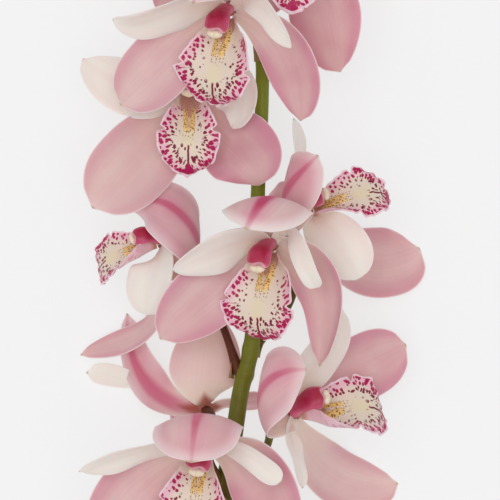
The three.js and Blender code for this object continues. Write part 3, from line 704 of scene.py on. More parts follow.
# --- column
@dataclass(frozen=True)
class Column:
    """The column: an arched half-round hood, hollow beneath its front, with the anther cap under its end.

    axis: its middle line as (mm forward, mm up). rings: half width and half height in mm, from foot to end.
    """

    size: float
    axis: tuple[tuple[float, float], ...] = ((0, 1.5), (6.3, 3.9), (12.8, 4.1), (18.1, 1.0))
    rings: tuple[tuple[float, float], ...] = ((3.4, 3.0), (4.2, 2.6), (5.6, 3.0), (4.8, 2.6))
    cap_centre: tuple[float, float] = (17.7, -0.9)
    cap_radii: Point = (2.0, 1.9, 3.7)

    def hood(self, frame: BloomFrame) -> Part:
        """The arched body.

        Each ring is an ellipse (width cos a, height sin a). Beneath, the front half is pushed up by sin^1.5 a
        so that it is hollow, the side wings are drawn out and down, and the last rings close as a quarter
        circle.

        Args:
            frame: The bloom's axes.

        Returns:
            The closed part.
        """
        t = np.linspace(0, 1, 45)
        a = np.linspace(0, TURN, 48, endpoint=False)[None]
        line, slope = spline(np.array(self.axis), t)
        tangent = unit(slope)
        wide, high = (r[:, None] for r in spline(np.array(self.rings), t)[0].T)
        share = t[:, None]
        close = np.sqrt(1 - np.clip((share - 0.9) / 0.105, 0, 1) ** 2)
        hollow = ease((share - 0.35) / 0.3)
        below = np.maximum(-np.sin(a), 0)
        wing = hump(np.cos(a) ** 2, 1, 0.3) * ease((share - 0.6) / 0.3)
        lift = high * np.sin(a) * close + hollow * high * 1.3 * below**1.5 * close - 1.1 * wing * close
        lift += 0.22 * hump(np.cos(a), 0, 0.18) * (np.sin(a) > 0) * (1 - share)
        side = wide * np.cos(a) * (0.35 + 0.65 * close) * (1 + 0.1 * wing)
        ahead = 0.7 * np.cos(3 * a) * ease((share - 0.85) / 0.15)
        forward = line[:, :1] - lift * tangent[:, 1:] + ahead * tangent[:, :1]
        up = line[:, 1:] + lift * tangent[:, :1] + ahead * tangent[:, 1:]
        rings = frame.grown(forward, up, side, self.size)
        return loft(rings, (side, share * 20, FAR), share, (np.sin(a), share, 0.0))

    def cap(self, frame: BloomFrame) -> Part:
        """The anther cap: an ellipsoid about the forward axis, with a furrow down its front and a beak.

        Args:
            frame: The bloom's axes.

        Returns:
            The closed part, which takes the piece's second material.
        """
        t = np.linspace(0.02, 0.98, 25)[:, None] * math.pi
        a = np.linspace(0, TURN, 36, endpoint=False)[None]
        ahead, high, wide = self.cap_radii
        side = wide * np.sin(t) * np.cos(a)
        furrow = 1 - 0.13 * hump(side, 0, 0.55) * ease(-np.cos(t) + 0.4)
        beak = 0.5 * hump(side, 0, 1.1) * ease(-np.sin(a)) * np.sin(t)
        forward = self.cap_centre[0] - ahead * np.cos(t) * furrow
        up = self.cap_centre[1] + high * np.sin(t) * np.sin(a) * furrow - beak
        rings = frame.grown(forward, up, side, self.size)
        cap = loft(rings, (side, t * ahead, FAR), t / math.pi, (np.sin(a), 1.0, 1.0))
        cap.finish = 1
        return cap


# --- bloom
@dataclass(frozen=True)
class Bloom:
    """One open bloom at a sheet point, with its own pose. ruddy: its stalk's colour, 0 green, 1 red-brown."""

    number: int
    centre: Point
    face: Point
    up: Point
    lip: LipShape
    stalk: tuple[Point, ...]
    sepals: tuple[Tepal, ...]
    petals: tuple[Tepal, ...]
    ruddy: float = 0.4

    @property
    def frame(self) -> BloomFrame:
        """The bloom's centre and axes."""
        return BloomFrame.of(self.centre, self.face, self.up)

    def build(self, finishes: Finishes) -> None:
        """Makes the bloom's four pieces: sepals, petals, lip, and column with cap.

        Args:
            finishes: The materials.
        """
        frame = self.frame
        for whorl, tepals in ((Whorl.SEPALS, self.sepals), (Whorl.PETALS, self.petals)):
            parts = [t.part(frame, whorl, 1.7 * self.number + 2.1 * i) for i, t in enumerate(tepals)]
            parts.append(frame.seat_disc(whorl, DISC_BLUSH))
            self.add(f"{whorl.slot}s", whorl.slot, parts, finishes.tepal[whorl])
        self.add("lip", "lip", [Lip(self.lip).part(frame)], finishes.lip)
        column = Column(self.lip.size)
        parts = [column.hood(frame), column.cap(frame)]
        self.add("column", "column", parts, finishes.column, finishes.cap)

    def add(self, kind: str, slot: str, parts: Sequence[Part], *finishes: bpy.types.Material) -> None:
        """One of the bloom's pieces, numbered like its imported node."""
        number = f"{self.number:02d}"
        piece(f"{kind}_{number}", parts, finishes, f"bloom_{number}_{kind}")


# --- tubes
def tube(
    points: Array, radii: Sequence[float], sides: int, rings: int, ripple: Callable[[Array, Array], Array]
) -> tuple[Array, Array, Array]:
    """A round tube along a curve.

    ring(t) = curve(t) + r (side cos a + other sin a), where side is carried along the curve and kept square
    to it, and r is the radius spline times ripple(t, a).

    Args:
        points: Places in mm that the middle line passes.
        radii: Radii in mm, spread evenly along it.
        sides: Points in a ring.
        rings: Steps along the tube.
        ripple: Factor on the radius by share along and angle round.

    Returns:
        The rings, mm round and mm along at each grid point.
    """
    t = np.linspace(0, 1, rings + 1)
    line, slope = spline(points, t)
    along = unit(slope)
    side = unit(np.cross((0, 0, 1), along[0]))
    frames = []
    for way in along:
        side = unit(side - np.dot(side, way) * way)
        frames.append(side)
    frames = np.array(frames)
    other = np.cross(along, frames)
    a = np.linspace(0, TURN, sides, endpoint=False)[None]
    radius = spline(np.array(radii)[:, None], t)[0] * ripple(t[:, None], a)
    return swept(line, radius, a, frames, other), radius * a, lengths(line)[:, None] + 0 * a


# --- stem
SPIKE = (
    (194, 830, -41.3), (196, 782, -40.6), (200, 720, -35), (207, 640, -22), (216, 560, -9),
    (226, 490, -2), (236, 422, 0), (241, 390, 0), (252, 342, 0), (256, 260, 0), (258, 190, 0),
    (262, 100, 0), (263, 0, -1), (262, -90, -4), (258, -150, -6),
)
SPIKE_RADII = (5.1, 5.0, 4.7, 4.4, 4.0, 3.6, 3.2, 2.4)


@dataclass(frozen=True)
class Stem:
    """The spike with every flower stalk and bud stalk grown from it, and a small bract under each stalk."""

    blooms: tuple[Bloom, ...]
    buds: tuple[Bud, ...]
    rings: int = 420
    sides: int = 28
    joint_swell: float = 0.14
    stalk_radii: tuple[float, ...] = (2.4, 2.0, 2.0, 2.3, 3.1, 2.6)
    stalk_straight: float = 13
    stalk_end: float = 1.2
    bud_radii: tuple[float, ...] = (2.0, 1.9, 2.1)
    bud_ruddy: float = 0.25
    bract_length: float = 10
    bract_half: float = 3.4

    def spike(self) -> Part:
        """The spike: shallow lengthwise ribs, and a swelling where each stalk leaves.

        Returns:
            The closed part.
        """
        points = LAYOUT.at(SPIKE)
        t = np.linspace(0, 1, self.rings + 1)
        line = spline(points, t)[0]
        starts = np.array([LAYOUT.at(b.stalk[0]) for b in (*self.blooms, *self.buds)])
        joints = t[np.linalg.norm(line[:, None] - starts, axis=-1).argmin(0)]

        def ripple(share: Array, angle: Array) -> Array:
            """Eleven fine ribs, four slow ones that wind, and a bell at each joint."""
            swell = sum(hump(share, joint, 0.008) for joint in joints)
            ribs = 0.016 * np.cos(11 * angle + 5 * share) + 0.012 * np.sin(4 * angle + 40 * share)
            return 1 + ribs + self.joint_swell * swell

        rings, turn, length = tube(points, SPIKE_RADII, self.sides, self.rings, ripple)
        return loft(rings, (turn, length, FAR), t[:, None], (0.0, t[:, None], 0.0))

    def stalk(self, points: Array, radii: Sequence[float], ruddy: float) -> Part:
        """A flower stalk: flared where it leaves the spike, six-ribbed where it becomes the ovary.

        Args:
            points: Places in mm that its middle line passes.
            radii: Radii in mm, spread evenly along it.
            ruddy: Its colour, 0 green and 1 red-brown.

        Returns:
            The closed part.
        """

        def ripple(share: Array, angle: Array) -> Array:
            """Six ribs that grow past the middle, and a flare at the foot."""
            ribs = 0.055 * np.cos(6 * angle + 2.5 * share) * ease((share - 0.45) / 0.25)
            return 1 + ribs + 0.35 * hump(share, 0, 0.1)

        rings, turn, length = tube(points, radii, 18, 56, ripple)
        t = np.linspace(0, 1, 57)[:, None]
        return loft(rings, (turn, length, FAR), t, (ruddy, t, 1.0))

    def bract(self, start: Array, toward: Array) -> Part:
        """The small pointed scale under a stalk, pressed against the spike where the stalk leaves.

        The mid-surface is start + along * (length u - 3.5) + out * (side cos a + across sin a), where a is
        the share across times the half width that falls to the tip.

        Args:
            start: Where the stalk leaves the spike's middle line.
            toward: The stalk's next point.

        Returns:
            The closed part.
        """
        line = spline(LAYOUT.at(SPIKE), np.linspace(0, 1, 600))[0]
        i = int(np.linalg.norm(line - start, axis=1).argmin())
        i = min(max(i, 4), len(line) - 5)
        along = unit(line[i + 2] - line[i - 2])
        side = toward - start
        side = unit(side - np.dot(side, along) * along)
        u = gather(14, 1.5)[:, None]
        v = np.linspace(-1, 1, 17)[None]
        half = self.bract_half * np.sqrt(np.maximum(1 - u**1.7, 0.001)) * (1 - 0.15 * u)
        out = 4.3 + 1.6 * u**2
        a = v * 0.85 * half / self.bract_half
        across = np.cross(along, side)
        ahead = u * self.bract_length - 3.5
        middle = offset(start, (ahead, along), (out * np.cos(a), side), (out * np.sin(a), across))
        rim = half * (1 - np.abs(v))
        thick = 0.35 + 0.35 * (1 - np.exp(-rim))
        return shell(middle, thick, (half * v, u * self.bract_length, rim), v, u, (0.35, u, 2.0))

    def build(self, finishes: Finishes) -> None:
        """Makes the one piece that holds spike, stalks and bracts.

        Args:
            finishes: The materials.
        """
        parts = [self.spike()]
        for bloom in self.blooms:
            ends = [bloom.frame.place(-back, 0.0, 0.0) for back in (self.stalk_straight, self.stalk_end)]
            points = np.concatenate([LAYOUT.at(bloom.stalk), ends])
            parts += [self.stalk(points, self.stalk_radii, bloom.ruddy), self.bract(*points[:2])]
        for bud in self.buds:
            points = np.concatenate([LAYOUT.at(bud.stalk), bud.foot[None]])
            parts += [self.stalk(points, self.bud_radii, self.bud_ruddy), self.bract(*points[:2])]
        piece("spike_and_stalks", parts, [finishes.stem], "stem", crease=40)


# --- sheaths
@dataclass(frozen=True)
class Sheath:
    """A papery leaf rolled round the bare stem from one share of its length to another, open toward turn."""

    number: int
    start: float
    end: float
    turn: float
    gap: float = 1.1
    flare: float = 2.2
    wrap: float = 2.7

    def build(self, finishes: Finishes) -> None:
        """Makes the sheath: rolled by an angle that narrows to a point, flaring from the stem toward it.

        Args:
            finishes: The materials.
        """
        u = np.linspace(0, 1, 61)
        v = np.linspace(-1, 1, 49)[None]
        t = self.start + (self.end - self.start) * u
        line, slope = spline(LAYOUT.at(SPIKE), t)
        along = unit(slope)
        side = unit(np.cross((0, 0, 1), along))
        other = np.cross(along, side)
        rise = u[:, None]
        radius = spline(np.array(SPIKE_RADII)[:, None], t)[0] + self.gap + self.flare * rise**3
        ribs = 0.1 * np.cos(34 * v + self.number)
        radius = radius + ribs + 0.3 * np.sin(7 * rise + 3 * v + self.turn) * np.abs(v) ** 2 * rise
        half = self.wrap * (1 - 0.35 * rise) * np.sqrt(np.maximum(1 - rise**2.5, 0.0008))
        a = self.turn - half * v
        middle = swept(line, radius, a, side, other)
        length = lengths(line)[:, None]
        width = half * radius
        rim = np.minimum(width * (1 - np.abs(v)), (1 - rise) * length[-1] + 0 * v)
        thick = 0.3 + 0.35 * (1 - np.exp(-rim / 2))
        part = shell(middle, thick, (width * v, length, rim), v, rise, (0.5, rise, float(self.number)))
        piece(f"papery_sheath_{self.number}", [part], [finishes.sheath], f"sheath_{self.number}")


# --- buds
@dataclass(frozen=True)
class Bud:
    """A closed bud on its stalk: sheet points of stalk and tip, and its greatest radius in mm."""

    number: int
    stalk: tuple[Point, ...]
    tip: Point
    fat: float
    beyond: float = 3.0
    clear: float = 0.3

    @property
    def axis(self) -> Array:
        """The way that the bud points."""
        return unit(LAYOUT.at(self.tip) - LAYOUT.at(self.stalk[-1]))

    @property
    def foot(self) -> Array:
        """Where its stalk ends and the bud sits."""
        return LAYOUT.at(self.stalk[-1]) + self.axis * self.beyond

    def build(self, finishes: Finishes) -> None:
        """Makes the bud: a spindle, three-sided in section, with a groove where each sepal laps the next.

        Args:
            finishes: The materials.
        """
        start = self.foot + self.axis * self.clear
        length = float(np.linalg.norm(LAYOUT.at(self.tip) - start))
        side = unit(np.cross((0, 0, 1), self.axis))
        other = np.cross(self.axis, side)
        t = np.linspace(0.004, 0.998, 64)[:, None]
        a = np.linspace(0, TURN, 60, endpoint=False)[None]
        radius = self.fat * np.sin(math.pi * t**0.8) ** 0.75 * ease(t / 0.02 + 0.4)
        lap = 1.5 * (a - 0.5 * np.sin(t * 2.2)) % math.pi
        step = 0.45 * (1 - ease(lap / 0.35)) - 0.35 * (1 - ease((math.pi - lap) / 0.5))
        radius = radius * (1 + 0.05 * np.cos(3 * a)) + step * ease(t / 0.15) * (1 - ease((t - 0.85) / 0.12))
        aside = radius * np.cos(a) + 1.3 * t**2
        rings = offset(start, (t * length, self.axis), (aside, side), (radius * np.sin(a), other))
        part = loft(rings, (radius * a, t * length, lap), t, (0.4, t, float(self.number)))
        piece(f"closed_bud_{self.number}", [part], [finishes.bud], f"bud_{self.number}")


# --- the blooms, from the cut end up
BLOOMS = (
    Bloom(
        1, (206, 443, 26), (-0.2, -0.58, 0.77), (0.05, 0.8, 0.6),
        LipShape(size=1.1, wide=1.12, phase=0.6, lean=0.3, tall=0.2),
        stalk=((228, 490, -2), (210, 462, 5)),
        sepals=(
            Tepal(((203, 446, 26), (203, 419, 38), (198, 416, 58), (192, 460, 76)),
                  23.5, (0, -0.6, 0.8), (0, -0.85, -0.5), curl=0.6, peak=0.6, blunt=5, blush=0.5, streak=1),
            Tepal(((198, 450, 24), (160, 478, 20), (126, 511, 18), (102, 548, 12)),
                  21.5, (0.2, -0.1, 1), (0.2, 0.1, 1), blush=0.52),
            Tepal(((212, 448, 24), (250, 465, 24), (273, 505, 24), (282, 555, 18)),
                  18, (-0.3, 0, 0.95), (-0.4, 0, 0.9), curl=0.5, blush=0.6),
        ),
        petals=(
            Tepal(((200, 447, 28), (160, 447, 36), (120, 458, 40), (80, 471, 38)),
                  9.5, (0.1, -0.85, 0.5), (0.1, -0.8, 0.6), curl=0.4),
            Tepal(((210, 445, 28), (236, 449, 40), (260, 464, 44), (281, 480, 44)),
                  6, (-0.3, -0.4, 0.8), (-0.3, 0.2, 0.9), curl=0.5, peak=0.6, blunt=5),
        ),
        ruddy=0.3,
    ),
    Bloom(
        2, (292, 415, 6), (0.73, 0.41, 0.55), (-0.66, 0.28, 0.7),
        LipShape(size=1.1, phase=2.1, lean=-0.6, tall=1.6),
        stalk=((230, 472, -3), (264, 452, -12)),
        sepals=(
            Tepal(((290, 416, 8), (259, 405, 24), (268, 381, 42), (306, 369, 50)),
                  20, (0.9, 0.1, 0.4), (0.3, -0.3, -0.9), curl=0.65, foot=0.62, peak=0.55, blunt=3.2,
                  blush=0.55, streak=1),
            Tepal(((293, 410, 3), (328, 386, -8), (369, 365, -18), (408, 346, -26)),
                  17.3, (0.1, -0.2, 1), (0.1, -0.2, 1), peak=0.6, blunt=2.8, blush=0.6),
            Tepal(((293, 420, 4), (318, 465, -22), (356, 489, -39), (400, 487, -45.2)),
                  16, (0.2, 0.3, 0.95), (0.1, 0.3, 0.95), blush=0.4),
        ),
        petals=(
            Tepal(((292, 406, 6), (308, 376, 9), (328, 345, 11), (343, 309, 6)),
                  12, (0.6, -0.1, 0.8), (0.6, 0, 0.8), curl=0.4, foot=0.26),
            Tepal(((290, 418, 8), (292, 438, 16), (298, 461, 20), (303, 488, 20)),
                  5.4, (0.7, 0.3, 0.55), (0.7, 0.2, 0.6), curl=0.4, foot=0.5, blunt=3.5),
        ),
        ruddy=0.1,
    ),
    Bloom(
        3, (205, 410, -14), (-0.25, 0.5, -0.83), (0.15, 0.8, 0.55), LipShape(size=0.72, phase=3.4),
        stalk=((230, 462, 0), (214, 446, 0)),
        sepals=(
            Tepal(((200, 407, -14), (158, 396, -24), (133, 363, -36.5), (126, 315, -45.2)),
                  11.5, (0.3, 0.3, -0.9), (0.7, -0.1, -0.7), curl=0.5, blush=0.62, streak=1),
            Tepal(((208, 407, -15), (234, 405, -22), (261, 404, -28), (290, 402, -34)),
                  9, (0, 0.9, -0.5), (0, 0.9, -0.5), blush=0.45),
            Tepal(((204, 404, -12), (204, 380, -10), (208, 350, -13), (213, 315, -20)),
                  19, (0, 0.1, -1), (0, 0.1, -1), curl=0.45, foot=0.25, peak=0.45, blush=0.26, streak=0),
        ),
        petals=(
            Tepal(((202, 414, -16), (195, 442, -24), (175, 465, -32), (160, 490, -40)),
                  14, (0, 0, -1), (0, 0.2, -1)),
            Tepal(((198, 407, -18), (160, 395, -40), (128, 382, -43), (84, 374, -40)),
                  6.2, (0, 1, 0.6), (0, 0.25, -1), foot=0.3, peak=0.75, blunt=5, blush=0.05, streak=0),
        ),
        ruddy=1.0,
    ),
    Bloom(
        4, (164, 242, 0), (-0.86, 0.12, 0.5), (0.47, 0.55, 0.69),
        LipShape(size=0.86, phase=4.2, lean=0.75, tall=1.1),
        stalk=((239, 374, -1), (224, 330, -5), (202, 278, -9)),
        sepals=(
            Tepal(((171, 258, -2), (198, 245, 10), (174, 209, 14), (130, 210, 3)),
                  21.5, (-0.8, -0.1, 0.05), (-0.2, -0.5, -1), curl=0.5, foot=0.7, peak=0.5,
                  blush=0.62, streak=1),
            Tepal(((163, 238, -6), (161, 220, -20), (154, 197, -33), (143, 175, -42)),
                  10, (-0.8, 0.3, 0.5), (-0.7, 0.1, 0.7)),
            Tepal(((168, 262, -4), (155, 317, -20), (124, 343, -31), (78, 356, -37)),
                  8.5, (-0.6, 0.6, 0.5), (0.1, 0.5, 0.8), blush=0.5),
        ),
        petals=(
            Tepal(((164, 236, -2), (160, 208, -9), (153, 178, -19), (145, 148, -29)),
                  11, (-0.86, 0.1, 0.5), (-0.8, 0, 0.6)),
            Tepal(((166, 248, 2), (156, 266, 14), (149, 290, 14), (146, 316, 8)),
                  14.5, (-0.8, 0.3, 0.5), (-0.3, 0.1, 0.9), curl=0.4, foot=0.65),
        ),
        ruddy=1.0,
    ),
    Bloom(
        5, (306, 214, 2), (0.46, 0.52, 0.72), (-0.86, 0.07, 0.5),
        LipShape(size=0.95, taper=1.3, phase=5.3, lean=-0.3),
        stalk=((252, 350, -2), (292, 298, -9)),
        sepals=(
            Tepal(((303, 218, 4), (282, 204, 14), (293, 182, 28), (318, 156, 34)),
                  19, (0.8, 0.1, 0.5), (0.5, -0.2, -0.8), curl=0.6, foot=0.5, peak=0.5, blunt=2.6,
                  blush=0.6, streak=1),
            Tepal(((308, 222, -2), (343, 256, -27), (385, 264, -41.6), (422, 248, -45.2)),
                  19, (0.2, 0.3, 0.9), (0.2, 0.3, 0.9), peak=0.62, blunt=3, blush=0.5),
            Tepal(((304, 210, -4), (290, 202, -18), (276, 199, -30), (266, 200, -40)),
                  10, (0.9, -0.2, 0.2), (0.9, -0.2, 0.3)),
        ),
        petals=(
            Tepal(((309, 216, 4), (326, 231, 9), (344, 251, 12), (358, 280, 11)),
                  14.5, (0.2, 0.2, 0.95), (0.1, 0.1, 1), curl=0.4, foot=0.45, peak=0.55, blunt=3.2),
            Tepal(((304, 206, 0), (300, 180, -2), (298, 150, -2), (295, 118, 0)),
                  12, (1, 0, 0.2), (1, 0, 0.3)),
        ),
        ruddy=0.3,
    ),
    Bloom(
        6, (272, 243, 22), (-0.34, -0.54, 0.77), (-0.07, 0.84, 0.55),
        LipShape(size=1.08, wide=1.14, taper=1.15, phase=0, lean=0.2, tall=0.85),
        stalk=((256, 294, 0), (278, 258, 3)),
        sepals=(
            Tepal(((272, 240, 22), (275, 205, 34), (266, 199, 56), (246, 230, 76)),
                  24, (0, -0.6, 0.8), (-0.1, -0.85, -0.5), curl=0.75, foot=0.45, peak=0.6, blunt=2.8,
                  blush=0.36, streak=1.5),
            Tepal(((266, 248, 20), (232, 275, 20), (195, 305, 24), (160, 339, 22)),
                  18, (0.2, -0.1, 1), (0.2, 0.1, 1), blush=0.56),
            Tepal(((280, 248, 20), (312, 268, 26), (327, 305, 28), (319, 366, 24)),
                  15, (-0.5, 0, 0.85), (-0.7, 0, 0.7), curl=0.7, foot=0.65, blush=0.5),
        ),
        petals=(
            Tepal(((268, 243, 24), (237, 244, 34), (206, 257, 38), (173, 271, 36)),
                  14, (0.1, -0.75, 0.65), (0.1, -0.6, 0.8), curl=0.4, peak=0.36, blunt=1.6),
            Tepal(((278, 240, 24), (290, 231, 39), (302, 258, 51), (318, 288, 50)),
                  5.6, (-0.6, -0.3, 0.7), (-0.45, 0.1, 0.9), curl=0.5, foot=0.45, peak=0.7, blunt=5),
        ),
        ruddy=0.3,
    ),
    Bloom(
        7, (191, 84, -5), (-0.05, -0.15, 0.98), (0, 0.98, 0.15),
        LipShape(size=1.06, wide=0.94, taper=1.9, phase=1.3, cup=1.15, ridges=(0.25, 0.48)),
        stalk=((260, 160, -1), (228, 122, -17)),
        sepals=(
            Tepal(((191, 82, -6), (192, 60, -9), (193, 38, -13), (193, 15, -18)),
                  17, (0, -0.3, 1), (0, -0.6, 0.8)),
            Tepal(((187, 92, -8), (160, 133, -2), (127, 171, 11), (93, 208, 22)),
                  20.5, (0.1, 0.1, 1), (0.3, 0.3, 0.9), peak=0.6, blunt=2.8, blush=0.37),
            Tepal(((196, 92, -8), (221, 131, 0), (244, 154, 8), (258, 186, 10)),
                  19.5, (-0.1, 0.1, 1), (-0.2, 0.3, 0.9), curl=0.25, peak=0.6, blunt=2.8, blush=0.68),
        ),
        petals=(
            Tepal(((186, 87, -4), (155, 92, 0), (118, 83, 0), (82, 57, -6)),
                  14.5, (0.1, -0.2, 1), (0.3, 0, 1), curl=0.4),
            Tepal(((197, 84, -4), (225, 80, 2), (241, 100, 8), (231, 128, 11)),
                  14, (-0.3, -0.1, 0.95), (-0.7, 0, 0.7), curl=0.5),
        ),
        ruddy=0.6,
    ),
    Bloom(
        8, (229, 9, 32), (-0.32, -0.56, 0.76), (-0.02, 0.81, 0.58),
        LipShape(size=1.08, wide=1.16, taper=1.05, phase=2.7, lean=0.2, tall=0.75),
        stalk=((263, 54, 0), (246, 18, 9)),
        sepals=(
            Tepal(((229, 3, 32), (230, -28, 44), (215, -32, 66), (194, 8, 86)),
                  23, (0, -0.6, 0.8), (-0.1, -0.85, -0.5), curl=0.7, peak=0.6, streak=1),
            Tepal(((222, 14, 30), (186, 38, 26), (153, 72, 23), (120, 105, 17)),
                  17.5, (0.2, -0.1, 1), (0.2, 0.2, 1), curl=0.35, peak=0.6, blunt=2.6, blush=0.46),
            Tepal(((238, 12, 30), (274, 38, 31), (296, 76, 28), (300, 121, 20)),
                  14, (-0.3, 0, 0.95), (-0.4, 0, 0.9), curl=0.4, peak=0.56),
        ),
        petals=(
            Tepal(((224, 8, 34), (188, 9, 42), (150, 23, 44), (113, 21, 40)),
                  14, (0.1, -0.85, 0.5), (0.1, -0.8, 0.6), curl=0.4, peak=0.42),
            Tepal(((234, 4, 34), (252, 3, 50), (271, 22, 60), (290, 51, 62)),
                  7, (-0.9, -0.1, 0.4), (-0.8, 0.6, 0.3), curl=0.5, blunt=2.6),
        ),
        ruddy=0.4,
    ),
    Bloom(
        9, (287, -45, 8), (0.1, 0.4, 0.9), (0, 0.9, -0.4), LipShape(size=1.05, phase=3.9),
        stalk=((263, 10, -1), (276, -10, -7)),
        sepals=(
            Tepal(((287, -48, 8), (287, -82, 9), (286, -118, 17), (282, -148, 31)),
                  18, (0, -0.3, 1), (0, -0.8, 0.5), curl=0.4),
            Tepal(((283, -40, 6), (272, -18, 8), (266, 0, 9), (262, 14, 9)),
                  10, (0.2, 0.1, 1), (0.3, 0.2, 1)),
            Tepal(((292, -40, 6), (320, -8, 4), (329, 30, 2), (341, 71, -2)),
                  18.5, (-0.2, 0.1, 1), (-0.2, 0.2, 1), peak=0.5, blunt=2),
        ),
        petals=(
            Tepal(((282, -46, 10), (258, -62, 22), (239, -88, 34), (227, -118, 44)),
                  13, (0.2, -0.2, 1), (0.3, 0, 1), curl=0.4, foot=0.25),
            Tepal(((292, -46, 10), (322, -58, 18), (350, -78, 22), (372, -105, 22)),
                  13, (-0.2, -0.2, 1), (-0.3, 0, 1), curl=0.4),
        ),
        ruddy=0.4,
    ),
    Bloom(
        10, (205, -90, 0), (-0.85, 0.3, 0.42), (0.4, 0.35, 0.8), LipShape(size=0.95, phase=5.8),
        stalk=((262, -30, -2), (246, -60, -5)),
        sepals=(
            Tepal(((207, -92, 2), (224, -105, 20), (205, -128, 34), (178, -138, 38)),
                  16, (-0.8, 0.2, 0.5), (-0.4, -0.3, -0.8), curl=0.6, streak=1),
            Tepal(((203, -92, -6), (180, -100, -28), (150, -105, -41.8), (118, -108, -45.7)),
                  15, (-0.6, -0.1, 0.7), (0.1, -0.1, 0.9)),
            Tepal(((205, -84, -4), (198, -50, -10), (180, -18, -14), (157, 12, -16)),
                  17, (-0.7, 0.2, 0.6), (-0.4, 0.3, 0.8)),
        ),
        petals=(
            Tepal(((203, -96, -2), (192, -124, -6), (172, -150, -10), (150, -170, -14)),
                  12, (-0.9, -0.2, 0.4), (-0.9, -0.2, 0.4)),
            Tepal(((203, -86, 2), (192, -64, 12), (180, -40, 14), (172, -14, 8)),
                  12, (-0.8, 0.3, 0.5), (-0.5, 0.1, 0.8), curl=0.4),
        ),
        ruddy=0.4,
    ),
)

BUDS = (
    Bud(1, stalk=((262, -92, -4), (276, -112, 0), (288, -134, 4)), tip=(304, -178, 14), fat=8.2),
    Bud(2, stalk=((258, -146, -6), (256, -160, -5)), tip=(246, -208, 2), fat=6.6),
)

SHEATHS = (
    Sheath(1, start=0.115, end=0.195, turn=0.4),
    Sheath(2, start=0.205, end=0.285, turn=3.5),
    Sheath(3, start=0.288, end=0.355, turn=0.9),
)


# --- node wiring
def paint(code: str) -> tuple[float, float, float, float]:
    """Linear colour of a hex code.

    Args:
        code: Six digits such as "d6aaad".

    Returns:
        Red, green, blue and alpha.
    """
    parts = [int(code[i : i + 2], 16) / 255 for i in (0, 2, 4)]
    linear = [p / 12.92 if p <= 0.04045 else ((p + 0.055) / 1.055) ** 2.4 for p in parts]
    return (*linear, 1.0)


class Wires:
    """Adds nodes to one node tree and links them, so that a pattern reads as a formula.

    A value is a socket to link, a number, or the hex code of a colour.
    """

    def __init__(self, tree: bpy.types.NodeTree) -> None:
        """Works on this tree."""
        self.tree = tree

    def feed(self, socket: Socket, value: Value) -> None:
        """Links a socket to another one, or sets its plain value.

        Args:
            socket: The input to feed.
            value: What it gets.
        """
        if isinstance(value, bpy.types.NodeSocket):
            self.tree.links.new(value, socket)
        else:
            socket.default_value = paint(value) if isinstance(value, str) else value

    def add(self, kind: str, values: Values = (), **settings: Setting) -> bpy.types.Node:
        """Adds a node.

        Args:
            kind: Its type, without the word that all shader nodes start with.
            values: What its inputs get, in order or by name.
            settings: Its own settings, made before its inputs are fed.

        Returns:
            The node.
        """
        node = self.tree.nodes.new(f"ShaderNode{kind}")
        for name, setting in settings.items():
            setattr(node, name, setting)
        for key, value in values.items() if isinstance(values, dict) else enumerate(values):
            self.feed(node.inputs[key], value)
        return node

    def chain(self, operation: str, first: Value, *others: Value) -> Socket:
        """Takes in values one after another with Math nodes.

        Args:
            operation: What each node does with the result so far and the next value.
            first: The first value.
            others: The next ones.

        Returns:
            The last node's result.
        """
        for value in others:
            first = self.add("Math", (first, value), operation=operation).outputs[0]
        return first

    def times(self, *values: Value) -> Socket:
        """Product of all the values."""
        return self.chain("MULTIPLY", *values)

    def plus(self, *values: Value) -> Socket:
        """Sum of all the values."""
        return self.chain("ADD", *values)

    def less(self, value: Value, taken: Value) -> Socket:
        """Value minus what is taken from it."""
        return self.chain("SUBTRACT", value, taken)

    def most(self, *values: Value) -> Socket:
        """Greatest of all the values."""
        return self.chain("MAXIMUM", *values)

    def size(self, value: Value) -> Socket:
        """Value without its sign."""
        return self.add("Math", (value,), operation="ABSOLUTE").outputs[0]

    def fit(
        self, value: Value, low: Value, high: Value, start: Value = 0.0, end: Value = 1.0, way: str = SMOOTH
    ) -> Socket:
        """Value eased from low..high to start..end (smooth step), held at both ends."""
        return self.add("MapRange", (value, low, high, start, end), interpolation_type=way).outputs[0]

    def line(self, value: Value, low: Value, high: Value, start: Value, end: Value) -> Socket:
        """Value moved from low..high to start..end in a straight line, held at both ends."""
        return self.fit(value, low, high, start, end, "LINEAR")

    def blend(self, share: Value, first: Value, second: Value) -> Socket:
        """Colour between two, by share."""
        return self.add("Mix", {0: share, 6: first, 7: second}, data_type="RGBA").outputs[2]

    def vector(self, x: Value, y: Value, z: Value = 0.0) -> Socket:
        """Vector of three values."""
        return self.add("CombineXYZ", (x, y, z)).outputs[0]

    def split(self, vector: Value) -> tuple[Socket, ...]:
        """The three values of a vector."""
        return tuple(self.add("SeparateXYZ", (vector,)).outputs)

    def read(self, name: str) -> tuple[Socket, ...]:
        """The three values of a point attribute."""
        return self.split(self.add("Attribute", attribute_name=name).outputs["Vector"])

    def number(self, name: str) -> Socket:
        """The value of a point attribute that holds one number."""
        return self.add("Attribute", attribute_name=name).outputs["Fac"]

    def here(self) -> Socket:
        """Object coordinates, in metres."""
        return self.add("TexCoord").outputs["Object"]

    def noise(self, place: Value, scale: Value = 1.0, detail: float = 2.0, rough: float = 0.5) -> Socket:
        """Noise from 0 to 1."""
        values = {"Vector": place, "Scale": scale, "Detail": detail, "Roughness": rough}
        return self.add("TexNoise", values).outputs[0]

    def use(self, group: bpy.types.NodeTree, **values: Value) -> Socket:
        """First output of a node group with these inputs."""
        return self.add("Group", values, node_tree=group).outputs[0]


